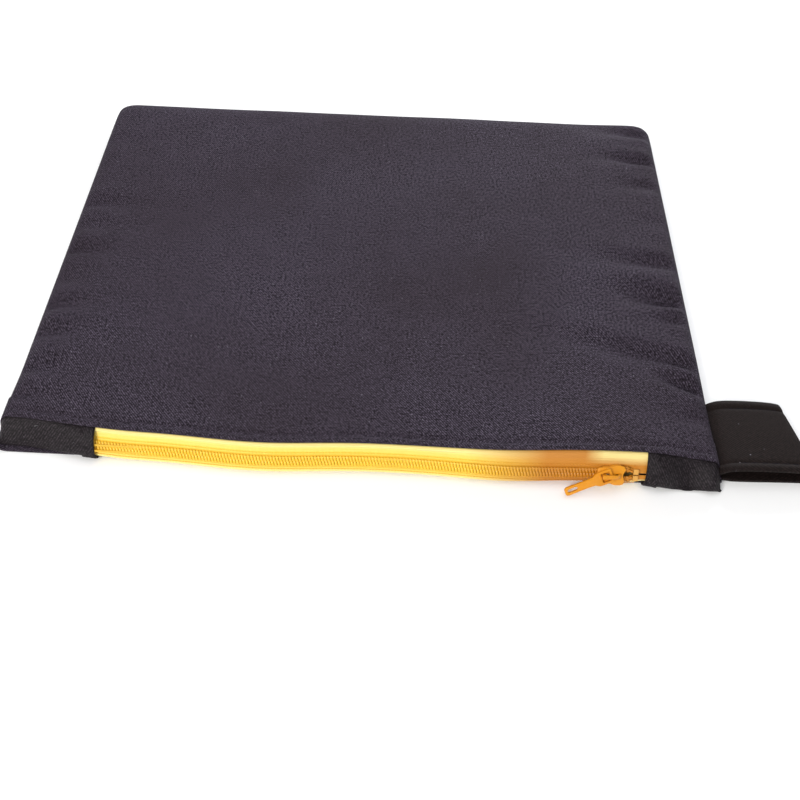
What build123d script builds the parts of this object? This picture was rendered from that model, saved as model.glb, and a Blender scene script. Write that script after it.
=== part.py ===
from build123d import *
import os
from math import cos, radians, sin, tan

# Flat lined zip pouch for battery packs, lying on its back panel. Millimetres, +Z up.
# The origin is on the underside, midway between the side seams and far_seam_y from the far seam.
# +X runs along the zip to its closed end, and -Y points out of the mouth.

# ---- pouch ----
pouch_width = 230.0
far_seam_y = 90.0
mouth_fold_y = -87.8
edge_height = 3.0
crown_rise = 0.8
side_shoulder = 15.0
far_shoulder = 16.0
mouth_shoulder = 30.0
corner_radius = 7.0
seam_allowance = 8.0
lining_inset = 8.0
lining_seam_height = 3.2

# ---- cloth ----
twill_thickness = 0.4
tape_thickness = 0.5
lining_thickness = 0.4
thread_size = 0.25
topstitch_setback = 4.4

# ---- mouth band that carries the zip ----
band_angle = 55.0
band_foot_height = 1.0
band_undercut = 0.7
chain_to_fold = 4.3
tab_length = 27.25
tab_overlap = 10.0

# ---- coil chain ----
tape_gap = 1.8
coil_width = 1.7
coil_gap = 0.2
coil_height = 1.2
cord_width = 0.6
cord_height = 0.5
stop_length = 1.6
stop_wall = 0.45

# ---- slider ----
slider_length = 9.0
slider_rear_width = 5.2
slider_front_width = 6.6
slider_wall = 0.55
plate_thickness = 0.65
slider_clearance = 0.25
diamond_width = 1.2
diamond_length = 2.4
slider_rest_gap = 4.75
slider_floor_gap = 0.3
crown_length = 5.2
crown_width = 1.6
crown_foot = 0.7
crown_roof = 0.6
bridge_room = 1.2
spring_thickness = 0.2
lock_pin_radius = 0.35

# ---- pull ----
pull_yaw = 24.0
pull_length = 15.5
pull_thickness = 0.8
pull_eye_width = 3.2
pull_eye_length = 2.8
pull_side_bar = 0.7
pull_tip_width = 3.6
pull_slot_length = 3.2
pull_slot_width = 1.2
pull_axis_offset = 0.46
pull_axis_shift = -0.13

# ---- hanging loop ----
strap_width = 28.0
strap_near_y = -89.5
strap_length = 32.0
strap_ply = 1.4
loop_height = 7.2
loop_rise = 9.0
loop_clearance = 0.3
stitch_margin = 3.0

# ---- worked out ----
half_width = pouch_width / 2
seam_height = edge_height / 2
slope = radians(band_angle)
hem_thickness = 2 * twill_thickness
tape_depth = hem_thickness
lining_depth = tape_depth + tape_thickness
zip_opening = pouch_width - 2 * tab_length
half_opening = zip_opening / 2
slider_rest_x = half_opening - slider_rest_gap - slider_length / 2
slider_reach_down = tape_thickness + slider_clearance + plate_thickness
slider_half_rise = slider_front_width / 2 * sin(slope) + slider_reach_down * cos(slope)
chain_height = lining_depth + slider_floor_gap + slider_half_rise
mouth_height = chain_height + chain_to_fold
crown_height = mouth_height + crown_rise
band_foot_y = mouth_fold_y - (mouth_height - band_foot_height) / tan(slope)
chain_y = (mouth_fold_y - (mouth_height - chain_height) / tan(slope)) + tape_depth / sin(slope)
reach = 400.0

os.makedirs("parts", exist_ok=True)


def span_box(x0, x1, y0, y1, z0, z1):
    """A box between two opposite corners."""
    size = (x1 - x0, y1 - y0, z1 - z0)
    return Pos((x0 + x1) / 2, (y0 + y1) / 2, (z0 + z1) / 2) * Box(*size)


def centred_extrusion(face, length):
    """A face extruded equally to both sides of its plane."""
    return extrude(face, amount=length / 2, both=True)


def side_outline():
    """The pouch's YZ outline: far slope, crown, mouth fold and the sloping mouth band."""
    far_rise = (crown_height - edge_height) / far_shoulder
    points = [
        (far_seam_y + edge_height / far_rise, 0),
        (far_seam_y - far_shoulder, crown_height),
        (mouth_fold_y + mouth_shoulder, crown_height),
        (mouth_fold_y, mouth_height),
        (band_foot_y, band_foot_height),
        (band_foot_y + band_undercut, 0),
    ]
    return make_face(Polyline(*points, close=True))


def block(depth, inset=0.0):
    """The pouch's envelope, moved inwards by depth, with the seamed sides a further inset in."""
    side = Plane.YZ * offset(side_outline(), amount=-depth, kind=Kind.INTERSECTION)
    rise = (crown_height - edge_height) / side_shoulder
    foot_x = half_width + 20.0
    roof_x = half_width - 3 * side_shoulder
    roof = [
        (-foot_x, -40),
        (foot_x, -40),
        (foot_x, edge_height - (foot_x - half_width) * rise),
        (roof_x, edge_height + 3 * side_shoulder * rise),
        (-roof_x, edge_height + 3 * side_shoulder * rise),
        (-foot_x, edge_height - (foot_x - half_width) * rise),
    ]
    front = offset(make_face(Polyline(*roof, close=True)), amount=-depth, kind=Kind.INTERSECTION)
    x_edge = half_width - inset - depth
    y_far = far_seam_y - inset - depth
    y_near = band_foot_y - 10.0
    plan = Pos(0, (y_far + y_near) / 2) * Rectangle(2 * x_edge, y_far - y_near)
    far_corners = plan.vertices().group_by(Axis.Y)[-1]
    plan = fillet(far_corners, corner_radius - depth)
    body = extrude(Pos(0, 0, -20) * plan, amount=60)
    return body & centred_extrusion(side, reach) & centred_extrusion(Plane.XZ * front, reach)


everywhere = (-reach, reach)
above_seam = span_box(*everywhere, *everywhere, seam_height, reach)
below_seam = span_box(*everywhere, *everywhere, -reach, seam_height)
behind_fold = span_box(*everywhere, mouth_fold_y, reach, -reach, reach)
before_fold = span_box(*everywhere, -reach, mouth_fold_y, -reach, reach)
inner_area = span_box(
    -(half_width - seam_allowance),
    half_width - seam_allowance,
    mouth_fold_y + seam_allowance,
    far_seam_y - seam_allowance,
    -reach,
    reach,
)

envelope = block(0)
under_twill = block(twill_thickness)
under_hem = block(hem_thickness)
under_tape = block(lining_depth)
twill_shell = envelope - under_twill
allowance_shell = (under_twill - under_hem) - inner_area
doubled_twill = twill_shell + allowance_shell
band_shell = envelope - under_hem
tape_shell = under_hem - under_tape


# ---- panels and lining ----
stitch_y = mouth_fold_y + topstitch_setback
stitch_half = half_width - 2.0


def front_panel():
    """Upper twill panel with its turned-in allowances and mouth hem."""
    return doubled_twill & above_seam & behind_fold


def back_stitch_groove():
    """The sunk row of hem stitches under the back panel."""
    return span_box(-stitch_half, stitch_half, stitch_y, stitch_y + thread_size, 0, thread_size)


def back_panel():
    """Lower twill panel, flat on the ground, turned in all round."""
    return (doubled_twill & below_seam) - back_stitch_groove()


def lining_shell():
    """The lining bag as one shell, before it is divided at its seam."""
    inner = block(lining_depth + lining_thickness, lining_inset)
    return block(lining_depth, lining_inset) - inner


def front_lining():
    """Upper half of the lining bag, open downwards and at the mouth."""
    return lining_shell() & span_box(
        *everywhere, mouth_fold_y + 1.3, reach, lining_seam_height, reach
    )


def back_lining():
    """Lower half of the lining bag, open upwards and at the mouth."""
    return lining_shell() & span_box(
        *everywhere, mouth_fold_y - 0.7, reach, -reach, lining_seam_height
    )


def front_topstitching():
    """Row of stitches that lies on the hem behind the mouth fold."""
    row = span_box(-stitch_half, stitch_half, stitch_y, stitch_y + thread_size, seam_height, reach)
    return (Pos(0, 0, thread_size) * envelope - envelope) & row


def seam_thread(region):
    """Seam stitching that runs inside the allowances at the seam's height."""
    ring = under_hem - block(hem_thickness + thread_size)
    level = span_box(
        *everywhere, *everywhere, seam_height - thread_size / 2, seam_height + thread_size / 2
    )
    return ring & level & region


side_thread_end = far_seam_y - corner_radius - 2.0
right_side = span_box(half_width - 5, reach, mouth_fold_y, side_thread_end, -reach, reach)
left_side = span_box(-reach, 5 - half_width, mouth_fold_y, side_thread_end, -reach, reach)
far_side = span_box(*everywhere, side_thread_end + 0.5, reach, -reach, reach)


# ---- zip, drawn in the plane of the tapes' outer face ----
# Local X runs along the zip, local Y up the slope, local Z out of the pouch.
zip_plane = Plane(
    origin=(0, chain_y, chain_height), x_dir=(1, 0, 0), z_dir=(0, -sin(slope), cos(slope))
)


def on_zip(shape):
    """A shape drawn on the zip's plane, put in its place on the pouch."""
    return zip_plane.location * shape


def tapes(upper):
    """One zip tape: visible on the band, then turned in under the hem."""
    half_length = half_opening + tab_overlap
    z_range = (chain_height, reach) if upper else (-reach, chain_height)
    zone = span_box(
        -half_length, half_length, -reach, mouth_fold_y + seam_allowance, *z_range
    )
    chain_slot = on_zip(Box(reach, tape_gap, 6.0))
    return (tape_shell & zone) - chain_slot


def end_tab(side):
    """Fabric tab over one end of the zip, out to the side seam."""
    outer = (half_opening, reach) if side > 0 else (-reach, -half_opening)
    return band_shell & before_fold & above_seam & span_box(*outer, *everywhere, *everywhere)


coil_closed_y = coil_gap / 2 + coil_width / 2
coil_parted_y = diamond_width / 2 + 0.2 + coil_width / 2
stop_start = half_opening - stop_length - 0.4


def coil_path(side):
    """Centre line of one coil: closed, parted round the slider's diamond, then closed again."""
    x0 = slider_rest_x
    stations = [
        (-half_opening + 0.3, coil_closed_y),
        (x0 - 0.6, coil_closed_y),
        (x0 + 1.3, coil_parted_y),
        (x0 + slider_length / 2 + 0.2, coil_parted_y),
        (stop_start - 0.2, coil_closed_y),
    ]
    return [(x, side * y) for x, y in stations]


def ribbon(path, width, low, high):
    """A strip of the given width along a path, between two heights above the tape."""
    left = [(x, y + width / 2) for x, y in path]
    right = [(x, y - width / 2) for x, y in path]
    return extrude(Pos(0, 0, low) * make_face(Polyline(*left, *right[::-1], close=True)), high - low)


def coil_cord(side):
    """Filler cord that runs inside a coil."""
    middle = coil_height / 2
    return on_zip(
        ribbon(coil_path(side), cord_width, middle - cord_height / 2, middle + cord_height / 2)
    )


def coil(side):
    """Envelope of one nylon coil, bored for its filler cord."""
    return on_zip(ribbon(coil_path(side), coil_width, 0, coil_height)) - coil_cord(side)


def top_stop(side):
    """Stop crimped round a tape's edge just before the right-hand tab."""
    low = -tape_thickness - stop_wall
    y_in = coil_gap / 2 + 0.1
    y_out = y_in + coil_width
    body = span_box(
        stop_start, stop_start + stop_length, y_in, y_out, low, coil_height
    )
    slot = span_box(
        stop_start, stop_start + stop_length, tape_gap / 2, y_out, -tape_thickness, 0
    )
    piece = body - slot
    return on_zip(piece if side > 0 else mirror(piece, Plane.XZ))


# ---- slider ----
channel_low = -tape_thickness - slider_clearance
channel_high = coil_height + slider_clearance
plate_top = channel_high + plate_thickness
front_x = slider_length / 2
shoulder_x = 1.3
waist_x = -0.9


def half_outline(rear, front):
    """Half outline of a plate that widens from its rear to its front."""
    return [(-front_x, rear), (waist_x, rear), (shoulder_x, front), (front_x, front)]


def coil_room(middle):
    """Half width that a coil needs in the slider when its centre line is this far out."""
    return middle + coil_width / 2 + slider_clearance


def mirrored_face(points):
    """Face between a half outline and its mirror image in the X axis."""
    return make_face(Polyline(*points, *[(x, -y) for x, y in points[::-1]], close=True))


def slider_body():
    """Die-cast slider: two plates, side flanges and the diamond that parts the coils."""
    total = plate_top - channel_low + plate_thickness
    outline = half_outline(slider_rear_width / 2, slider_front_width / 2)
    body = extrude(Pos(0, 0, channel_low - plate_thickness) * mirrored_face(outline), total)
    rear_room = max(slider_rear_width / 2 - slider_wall, coil_room(coil_closed_y))
    front_room = max(slider_front_width / 2 - slider_wall, coil_room(coil_parted_y))
    channel = Pos(0, 0, channel_low) * mirrored_face(half_outline(rear_room, front_room))
    body -= extrude(channel, channel_high - channel_low)
    tape_slot = span_box(
        -reach, reach, -slider_front_width, slider_front_width, channel_low, slider_clearance
    )
    body -= tape_slot
    half = diamond_width / 2
    diamond = [(shoulder_x - 0.2, 0.05), (shoulder_x + 0.7, half), (shoulder_x + diamond_length, half)]
    body += extrude(
        Pos(0, 0, channel_low) * mirrored_face(diamond), channel_high - channel_low
    )
    bore = Pos(0, 0, plate_top) * Cylinder(lock_pin_radius + 0.1, 4 * plate_thickness)
    lock_bore = Pos(-1.0, 0, 0) * bore & span_box(-5, 5, -5, 5, channel_high, reach)
    return on_zip(Pos(slider_rest_x, 0, 0) * (body - lock_bore))


spring_top = plate_top + bridge_room + spring_thickness
crown_top = spring_top + crown_roof


def slider_crown():
    """Arched bridge on the slider that the pull's eye hangs on."""
    arch = span_box(
        -crown_length / 2, crown_length / 2, -crown_width / 2, crown_width / 2, plate_top, crown_top
    )
    top_ends = arch.edges().filter_by(Axis.Y).group_by(Axis.Z)[-1]
    arch = fillet(top_ends, 0.8 * crown_roof)
    inside = crown_length / 2 - crown_foot
    arch -= span_box(-inside, inside, -crown_width, crown_width, plate_top, spring_top)
    return on_zip(Pos(slider_rest_x, 0, 0) * arch)


def lock_spring():
    """Leaf spring under the crown's roof with the pin that locks the coil."""
    inside = crown_length / 2 - crown_foot
    half = crown_width / 2 - 0.25
    leaf = span_box(-inside, inside, -half, half, spring_top - spring_thickness, spring_top)
    heel = span_box(
        -inside, -inside + spring_thickness, -half, half, plate_top, spring_top - spring_thickness
    )
    foot = span_box(-inside, -0.7, -half, half, plate_top, plate_top + spring_thickness)
    pin = Cylinder(lock_pin_radius, plate_thickness, align=(Align.CENTER, Align.CENTER, Align.MAX))
    return on_zip(Pos(slider_rest_x, 0, 0) * (leaf + heel + foot + Pos(-1.0, 0, plate_top) * pin))


# ---- pull ----
pull_axis_height = plate_top + bridge_room / 2


def pull_tab():
    """Flat pull: an eye round the crown, a tapering tab and a slot at its tip."""
    eye_outer = pull_eye_width / 2 + pull_side_bar
    bar = pull_thickness / 2
    eye_end = bar + pull_eye_length
    tip = pull_tip_width / 2
    outline = [(0, eye_outer), (-eye_end - 1.2, eye_outer), (-eye_end - 2.6, tip), (-pull_length, tip)]
    plate = extrude(Pos(0, 0, -bar) * mirrored_face(outline), pull_thickness)
    tip_edges = plate.edges().filter_by(Axis.Z).group_by(Axis.X)[0]
    plate = fillet(tip_edges, 0.6 * tip)
    eye = span_box(
        -eye_end, 0, -pull_eye_width / 2, pull_eye_width / 2, -pull_thickness, pull_thickness
    )
    slot_x = -pull_length + 1.2 + pull_slot_length / 2
    slot = Pos(slot_x, 0, -pull_thickness) * extrude(
        SlotOverall(pull_slot_length, pull_slot_width), 2 * pull_thickness
    )
    hinge_bar = Rot(90, 0, 0) * Cylinder(bar, 2 * eye_outer)
    pull = (plate - eye - slot) + hinge_bar
    place = Pos(slider_rest_x + pull_axis_shift, pull_axis_offset, pull_axis_height)
    return on_zip(place * Rot(0, 0, pull_yaw) * pull)


# ---- hanging loop ----
strap_mid_y = strap_near_y + strap_width / 2
root_x = half_width + loop_clearance
tip_x = half_width + strap_length


def loop_outline(margin):
    """The loop's XZ outline as a closed face: root at the seam, two plies and a round fold."""
    low = margin
    high = loop_height - margin
    radius = (high - low) / 2
    turn_x = tip_x - margin - radius
    root_top = 2 * strap_ply - margin
    run_in = root_x if margin == 0 else root_x + 2.5 * margin
    edges = [
        Line((run_in, low), (turn_x, low)),
        ThreePointArc((turn_x, low), (turn_x + radius, low + radius), (turn_x, high)),
        Line((turn_x, high), (root_x + loop_rise, high)),
        Line((root_x + loop_rise, high), (run_in, root_top)),
    ]
    if root_top > low:
        edges.append(Line((run_in, root_top), (run_in, low)))
    return make_face(Wire(edges))


def along_strap(face, width):
    """A face of the loop's outline given the strap's width."""
    return Pos(0, strap_mid_y, 0) * centred_extrusion(Plane.XZ * face, width)


def loop_strap():
    """Strap of folded twill, doubled back on itself and sewn into the side seam."""
    return along_strap(loop_outline(0), strap_width) - along_strap(
        loop_outline(strap_ply), strap_width + 2
    )


def loop_stitching():
    """Two rows of edge stitching on the loop's upper ply."""
    start = root_x + loop_rise + 1.0
    end = tip_x - loop_height / 2 - 1.0
    rows = []
    for side in (-1, 1):
        y = strap_mid_y + side * (strap_width / 2 - stitch_margin)
        rows.append(
            span_box(start, end, y, y + thread_size, loop_height, loop_height + thread_size)
        )
    return Compound(children=rows)


pieces = {
    "front_panel": front_panel(),
    "back_panel": back_panel(),
    "front_lining": front_lining(),
    "back_lining": back_lining(),
    "front_topstitching": front_topstitching(),
    "back_topstitching": back_stitch_groove(),
    "left_seam_thread": seam_thread(left_side),
    "right_seam_thread": seam_thread(right_side),
    "far_seam_thread": seam_thread(far_side),
    "zip_tape_upper": tapes(True),
    "zip_tape_lower": tapes(False),
    "end_tab_left": end_tab(-1),
    "end_tab_right": end_tab(1),
    "zip_coil_upper": coil(1),
    "zip_coil_lower": coil(-1),
    "coil_cord_upper": coil_cord(1),
    "coil_cord_lower": coil_cord(-1),
    "top_stops": Compound(children=[top_stop(1), top_stop(-1)]),
    "slider_body": slider_body(),
    "slider_crown": slider_crown(),
    "lock_spring": lock_spring(),
    "pull_tab": pull_tab(),
    "loop_strap": loop_strap(),
    "loop_stitching": loop_stitching(),
}

for name, shape in pieces.items():
    export_step(shape, f"parts/{name}.step")
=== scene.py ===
"""Flat lined zip pouch for battery packs: cloth, zip, slider, hanging loop and studio.

Lengths inside the classes are millimetres in the part's own frame. Each finished mesh is scaled to
metres once, as it becomes an object.
"""

import logging
import math
from dataclasses import dataclass
from enum import Enum
from typing import Callable, Iterable, Sequence

import bmesh
import bpy
from mathutils import Matrix, Vector, noise


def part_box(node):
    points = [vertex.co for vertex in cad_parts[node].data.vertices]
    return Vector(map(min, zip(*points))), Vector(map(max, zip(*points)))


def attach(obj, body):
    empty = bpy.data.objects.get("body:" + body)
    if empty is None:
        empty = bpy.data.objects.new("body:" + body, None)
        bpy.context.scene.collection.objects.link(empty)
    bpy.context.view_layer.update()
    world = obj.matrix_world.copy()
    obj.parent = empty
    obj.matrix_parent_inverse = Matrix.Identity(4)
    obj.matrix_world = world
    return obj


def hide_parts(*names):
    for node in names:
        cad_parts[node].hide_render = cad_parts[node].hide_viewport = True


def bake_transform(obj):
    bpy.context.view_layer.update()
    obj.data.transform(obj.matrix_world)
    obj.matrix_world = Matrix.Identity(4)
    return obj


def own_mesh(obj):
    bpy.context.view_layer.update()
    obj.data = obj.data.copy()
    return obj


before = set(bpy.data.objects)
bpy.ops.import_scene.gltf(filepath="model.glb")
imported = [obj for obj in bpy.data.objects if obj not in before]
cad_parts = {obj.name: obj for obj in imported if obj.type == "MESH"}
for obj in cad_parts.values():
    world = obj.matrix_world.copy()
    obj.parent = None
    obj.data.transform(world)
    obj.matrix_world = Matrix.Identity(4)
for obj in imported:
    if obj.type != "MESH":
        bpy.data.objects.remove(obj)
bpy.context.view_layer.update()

MM = 0.001
Place = Callable[[float, float], Vector]
Line = Callable[[float], tuple[Vector, Vector]]
Colour = tuple[float, float, float, float]
Tree = bpy.types.NodeTree
Node = bpy.types.Node
Socket = bpy.types.NodeSocket
Value = Socket | float
Paint = Socket | Colour

log = logging.getLogger("pouch")


class Body(Enum):
    """The rigid bodies that pieces ride on."""

    POUCH = "pouch"
    SLIDER = "slider"
    PULL = "pull"
    LOOP = "loop"


class Side(Enum):
    """Left or right along the zip."""

    LOW = -1
    HIGH = 1


# ---------------------------------------------------------------- small sums


def clamp(value: float, low: float = 0.0, high: float = 1.0) -> float:
    """Hold a value between two limits."""
    return min(max(value, low), high)


def smoothstep(low: float, high: float, value: float) -> float:
    """Rise smoothly from 0 at low to 1 at high."""
    t = clamp((value - low) / (high - low))
    return t * t * (3 - 2 * t)


def mix(a: float, b: float, share: float) -> float:
    """Go from a to b by a share."""
    return a + (b - a) * share


def bell(distance: float, width: float) -> float:
    """Bell curve that is 1 at no distance."""
    return math.exp(-((distance / width) ** 2))


def roll(depth: float, radius: float, power: float = 2.3) -> float:
    """Share of full height at a depth in from a rolled edge.

    Args:
        depth: distance in from the edge.
        radius: distance over which the edge rolls over.
        power: 2 is round, more is squarer.

    Returns:
        0 at the edge and 1 from the radius on.
    """
    return (1 - (1 - clamp(depth / radius)) ** power) ** (1 / power)


def box_mm(node: str) -> tuple[Vector, Vector]:
    """Lowest and highest corners of a CAD node, in millimetres."""
    low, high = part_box(node)
    return Vector(low) / MM, Vector(high) / MM


def even(low: float, high: float, count: int) -> list[float]:
    """Evenly spaced stations from low to high, with count steps."""
    return [mix(low, high, k / count) for k in range(count + 1)]


def dense_ends(low: float, high: float, count: int) -> list[float]:
    """Stations that crowd towards both ends."""
    eased = (t * (1.5 - 0.5 * t * t) for t in even(-1, 1, count))
    return [mix(low, high, (1 + e) / 2) for e in eased]


def joined(*runs: Sequence[float]) -> list[float]:
    """Several runs of stations end to end, each shared end once.

    Returns:
        The stations of all runs.
    """
    stations = list(runs[0])
    for run in runs[1:]:
        stations.extend(run[1:])
    return stations


def smooth_path(points: Sequence[tuple[float, float]], t: float) -> Vector:
    """A point on a smooth curve through a few points.

    Args:
        points: the curve's points in its plane.
        t: 0 at the first point, 1 at the last.

    Returns:
        The point as a two-dimensional vector.
    """
    place = clamp(t) * (len(points) - 1)
    k = min(int(place), len(points) - 2)
    f = place - k
    p0, p1, p2, p3 = (Vector(points[clamp_index(k + o, len(points))]) for o in (-1, 0, 1, 2))
    square, cube = f * f, f * f * f
    return 0.5 * (
        2 * p1
        + (p2 - p0) * f
        + (2 * p0 - 5 * p1 + 4 * p2 - p3) * square
        + (3 * p1 - p0 - 3 * p2 + p3) * cube
    )


def clamp_index(index: int, count: int) -> int:
    """Hold an index inside a list."""
    return min(max(index, 0), count - 1)


# ---------------------------------------------------------------- shader node groups


class NodeShop:
    """Builds the node groups that several finishes share, and wires nodes."""

    # Strength of the painted shade at the zip's right end.
    painted_shade_share = 0.92

    def __init__(self) -> None:
        """Build each group once."""
        self.twill = self._twill()
        self.lint = self._lint()
        self.drift = self._drift()
        self.light_ramp = self._light_ramp()

    @staticmethod
    def _group(
        name: str, inputs: dict[str, float | tuple], outputs: dict[str, str]
    ) -> tuple[Tree, Node, Node]:
        """Start a group with named sockets.

        Args:
            name: the group's name.
            inputs: socket names and default values. Three numbers are a vector, four a colour.
            outputs: socket names and their kinds.

        Returns:
            The tree, its input node and its output node.
        """
        tree = bpy.data.node_groups.new(name, "ShaderNodeTree")
        for key, value in inputs.items():
            length = len(value) if isinstance(value, tuple) else 1
            kind = {1: "NodeSocketFloat", 3: "NodeSocketVector", 4: "NodeSocketColor"}[length]
            socket = tree.interface.new_socket(name=key, in_out="INPUT", socket_type=kind)
            socket.default_value = value
        for key, kind in outputs.items():
            tree.interface.new_socket(name=key, in_out="OUTPUT", socket_type=kind)
        return tree, tree.nodes.new("NodeGroupInput"), tree.nodes.new("NodeGroupOutput")

    @staticmethod
    def math(
        tree: Tree,
        operation: str,
        a: Value,
        b: Value | None = None,
        c: Value | None = None,
        clamped: bool = False,
    ) -> Socket:
        """Add a Math node and wire or set its inputs.

        Args:
            tree: the node tree.
            operation: the Math node's operation.
            a: first input, a socket or a number.
            b: second input, if any.
            c: third input, if any.
            clamped: True to clamp the result to 0 to 1.

        Returns:
            The result's socket.
        """
        node = tree.nodes.new("ShaderNodeMath")
        node.operation = operation
        node.use_clamp = clamped
        for socket, value in zip(node.inputs, (a, b, c)):
            if value is None:
                continue
            if isinstance(value, (int, float)):
                socket.default_value = value
            else:
                tree.links.new(value, socket)
        return node.outputs[0]

    @staticmethod
    def blend(tree: Tree, share: Value, first: Paint, second: Paint) -> Socket:
        """Mix two colours by a share.

        Args:
            tree: the node tree.
            share: 0 for the first colour, 1 for the second.
            first: a socket or a colour.
            second: a socket or a colour.

        Returns:
            The mixed colour's socket.
        """
        node = tree.nodes.new("ShaderNodeMix")
        node.data_type = "RGBA"
        colour_a, colour_b = (s for s in node.inputs if s.type == "RGBA")
        for socket, value in ((node.inputs[0], share), (colour_a, first), (colour_b, second)):
            if isinstance(value, Socket):
                tree.links.new(value, socket)
            else:
                socket.default_value = value
        return next(s for s in node.outputs if s.type == "RGBA")

    @staticmethod
    def noise(
        tree: Tree, vector: Socket, scale: float, detail: float = 2.0, roughness: float = 0.5
    ) -> Socket:
        """Add a noise texture.

        Args:
            tree: the node tree.
            vector: the coordinates.
            scale: how many grains fit in a metre.
            detail: how many finer layers it has.
            roughness: how strong the finer layers are.

        Returns:
            The socket of its value.
        """
        node = tree.nodes.new("ShaderNodeTexNoise")
        node.inputs["Scale"].default_value = scale
        node.inputs["Detail"].default_value = detail
        node.inputs["Roughness"].default_value = roughness
        tree.links.new(vector, node.inputs["Vector"])
        return node.outputs[0]

    def _twill(self) -> Tree:
        """Diagonal twill ribs with the short floats of single yarns.

        Returns:
            The group.
        """
        tree, given, result = self._group(
            "Twill weave",
            {"Vector": (0.0, 0.0, 0.0), "Pitch": 0.0006, "Angle": -0.86},
            {"Rib": "NodeSocketFloat", "Height": "NodeSocketFloat"},
        )
        split = tree.nodes.new("ShaderNodeSeparateXYZ")
        tree.links.new(given.outputs["Vector"], split.inputs[0])
        sine = self.math(tree, "SINE", given.outputs["Angle"])
        cosine = self.math(tree, "COSINE", given.outputs["Angle"])
        across = self.math(
            tree,
            "ADD",
            self.math(tree, "MULTIPLY", split.outputs[0], sine),
            self.math(tree, "MULTIPLY", split.outputs[1], cosine),
        )
        wobble = self.noise(tree, given.outputs["Vector"], 420.0, 2.0)
        turns = self.math(tree, "DIVIDE", across, given.outputs["Pitch"])
        turns = self.math(tree, "ADD", turns, self.math(tree, "MULTIPLY", wobble, 0.6))
        rib = self.math(tree, "SINE", self.math(tree, "MULTIPLY", turns, 2 * math.pi))
        yarn = self.math(tree, "DIVIDE", split.outputs[1], given.outputs["Pitch"])
        yarn = self.math(tree, "SINE", self.math(tree, "MULTIPLY", yarn, 4.4 * math.pi))
        mixed = self.math(tree, "MULTIPLY_ADD", yarn, 0.10, rib)
        level = self.math(tree, "MULTIPLY_ADD", mixed, 0.39, 0.5, clamped=True)
        tree.links.new(level, result.inputs["Rib"])
        tree.links.new(level, result.inputs["Height"])
        return tree

    def _lint(self) -> Tree:
        """Sparse pale specks and short fibres caught on cloth.

        Returns:
            The group.
        """
        tree, given, result = self._group(
            "Lint specks",
            {"Vector": (0.0, 0.0, 0.0), "Scale": 1700.0, "Share": 0.02},
            {"Mask": "NodeSocketFloat"},
        )
        cells = tree.nodes.new("ShaderNodeTexVoronoi")
        tree.links.new(given.outputs["Vector"], cells.inputs["Vector"])
        tree.links.new(given.outputs["Scale"], cells.inputs["Scale"])
        near = self.math(tree, "LESS_THAN", cells.outputs["Distance"], 0.32)
        split = tree.nodes.new("ShaderNodeSeparateColor")
        tree.links.new(cells.outputs["Color"], split.inputs[0])
        chosen = self.math(tree, "LESS_THAN", split.outputs[0], given.outputs["Share"])
        bright = self.math(tree, "MULTIPLY", split.outputs[1], chosen)
        tree.links.new(self.math(tree, "MULTIPLY", near, bright), result.inputs["Mask"])
        return tree

    def _drift(self) -> Tree:
        """Slow change of tone over a surface, at two sizes.

        Returns:
            The group.
        """
        tree, given, result = self._group(
            "Tone drift",
            {"Vector": (0.0, 0.0, 0.0), "Broad": 14.0, "Fine": 160.0},
            {"Broad": "NodeSocketFloat", "Fine": "NodeSocketFloat"},
        )
        for name in ("Broad", "Fine"):
            node = tree.nodes.new("ShaderNodeTexNoise")
            node.inputs["Detail"].default_value = 3.0
            tree.links.new(given.outputs["Vector"], node.inputs["Vector"])
            tree.links.new(given.outputs[name], node.inputs["Scale"])
            spread = self.math(tree, "MULTIPLY_ADD", node.outputs[0], 2.2, -0.6, clamped=True)
            tree.links.new(spread, result.inputs[name])
        return tree

    def _light_ramp(self) -> Tree:
        """Ramp along the zip, for painted shade towards its right end and for the tape's painted highlight
        patch.

        Returns:
            The group.
        """
        tree, given, result = self._group(
            "Painted light ramp",
            {"Vector": (0.0, 0.0, 0.0), "Start": 0.032, "Run": 0.026},
            {"Mask": "NodeSocketFloat"},
        )
        split = tree.nodes.new("ShaderNodeSeparateXYZ")
        tree.links.new(given.outputs["Vector"], split.inputs[0])
        past = self.math(tree, "SUBTRACT", split.outputs[0], given.outputs["Start"])
        depth = self.math(tree, "DIVIDE", past, given.outputs["Run"], clamped=True)
        tree.links.new(depth, result.inputs["Mask"])
        return tree

    def wave(self, tree: Tree, place: Socket, pitch: float) -> Socket:
        """Sine wave along one coordinate.

        Args:
            tree: the node tree.
            place: the coordinate, in metres.
            pitch: length of one wave.

        Returns:
            The socket of the wave, from -1 to 1.
        """
        turns = self.math(tree, "DIVIDE", place, pitch)
        return self.math(tree, "SINE", self.math(tree, "MULTIPLY", turns, 2 * math.pi))

    def paint_shade_right(self, tree: Tree, place: Socket, skin: Socket, deep: Colour) -> Socket:
        """Paint shade into a colour towards the zip's right end, where shade falls.

        Args:
            tree: the node tree.
            place: the coordinates.
            skin: the colour before the painted shade.
            deep: the colour of the painted shade.

        Returns:
            The socket of the colour with its painted shade.
        """
        # Painted shade: the colour is mixed towards its deep colour along the zip's right end.
        mask = self.use(tree, self.light_ramp, Vector=place).outputs["Mask"]
        return self.blend(tree, self.math(tree, "MULTIPLY", mask, self.painted_shade_share), skin, deep)

    def use(self, tree: Tree, group: Tree, **values: Value) -> Node:
        """Place a group in a material and wire or set its inputs by name.

        Args:
            tree: the node tree.
            group: the group to place.
            **values: a socket or a number for each input that isn't left as it is.

        Returns:
            The group's node.
        """
        node = tree.nodes.new("ShaderNodeGroup")
        node.node_tree = group
        for key, value in values.items():
            if isinstance(value, Socket):
                tree.links.new(value, node.inputs[key])
            else:
                node.inputs[key].default_value = value
        return node


SHOP = NodeShop()


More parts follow.
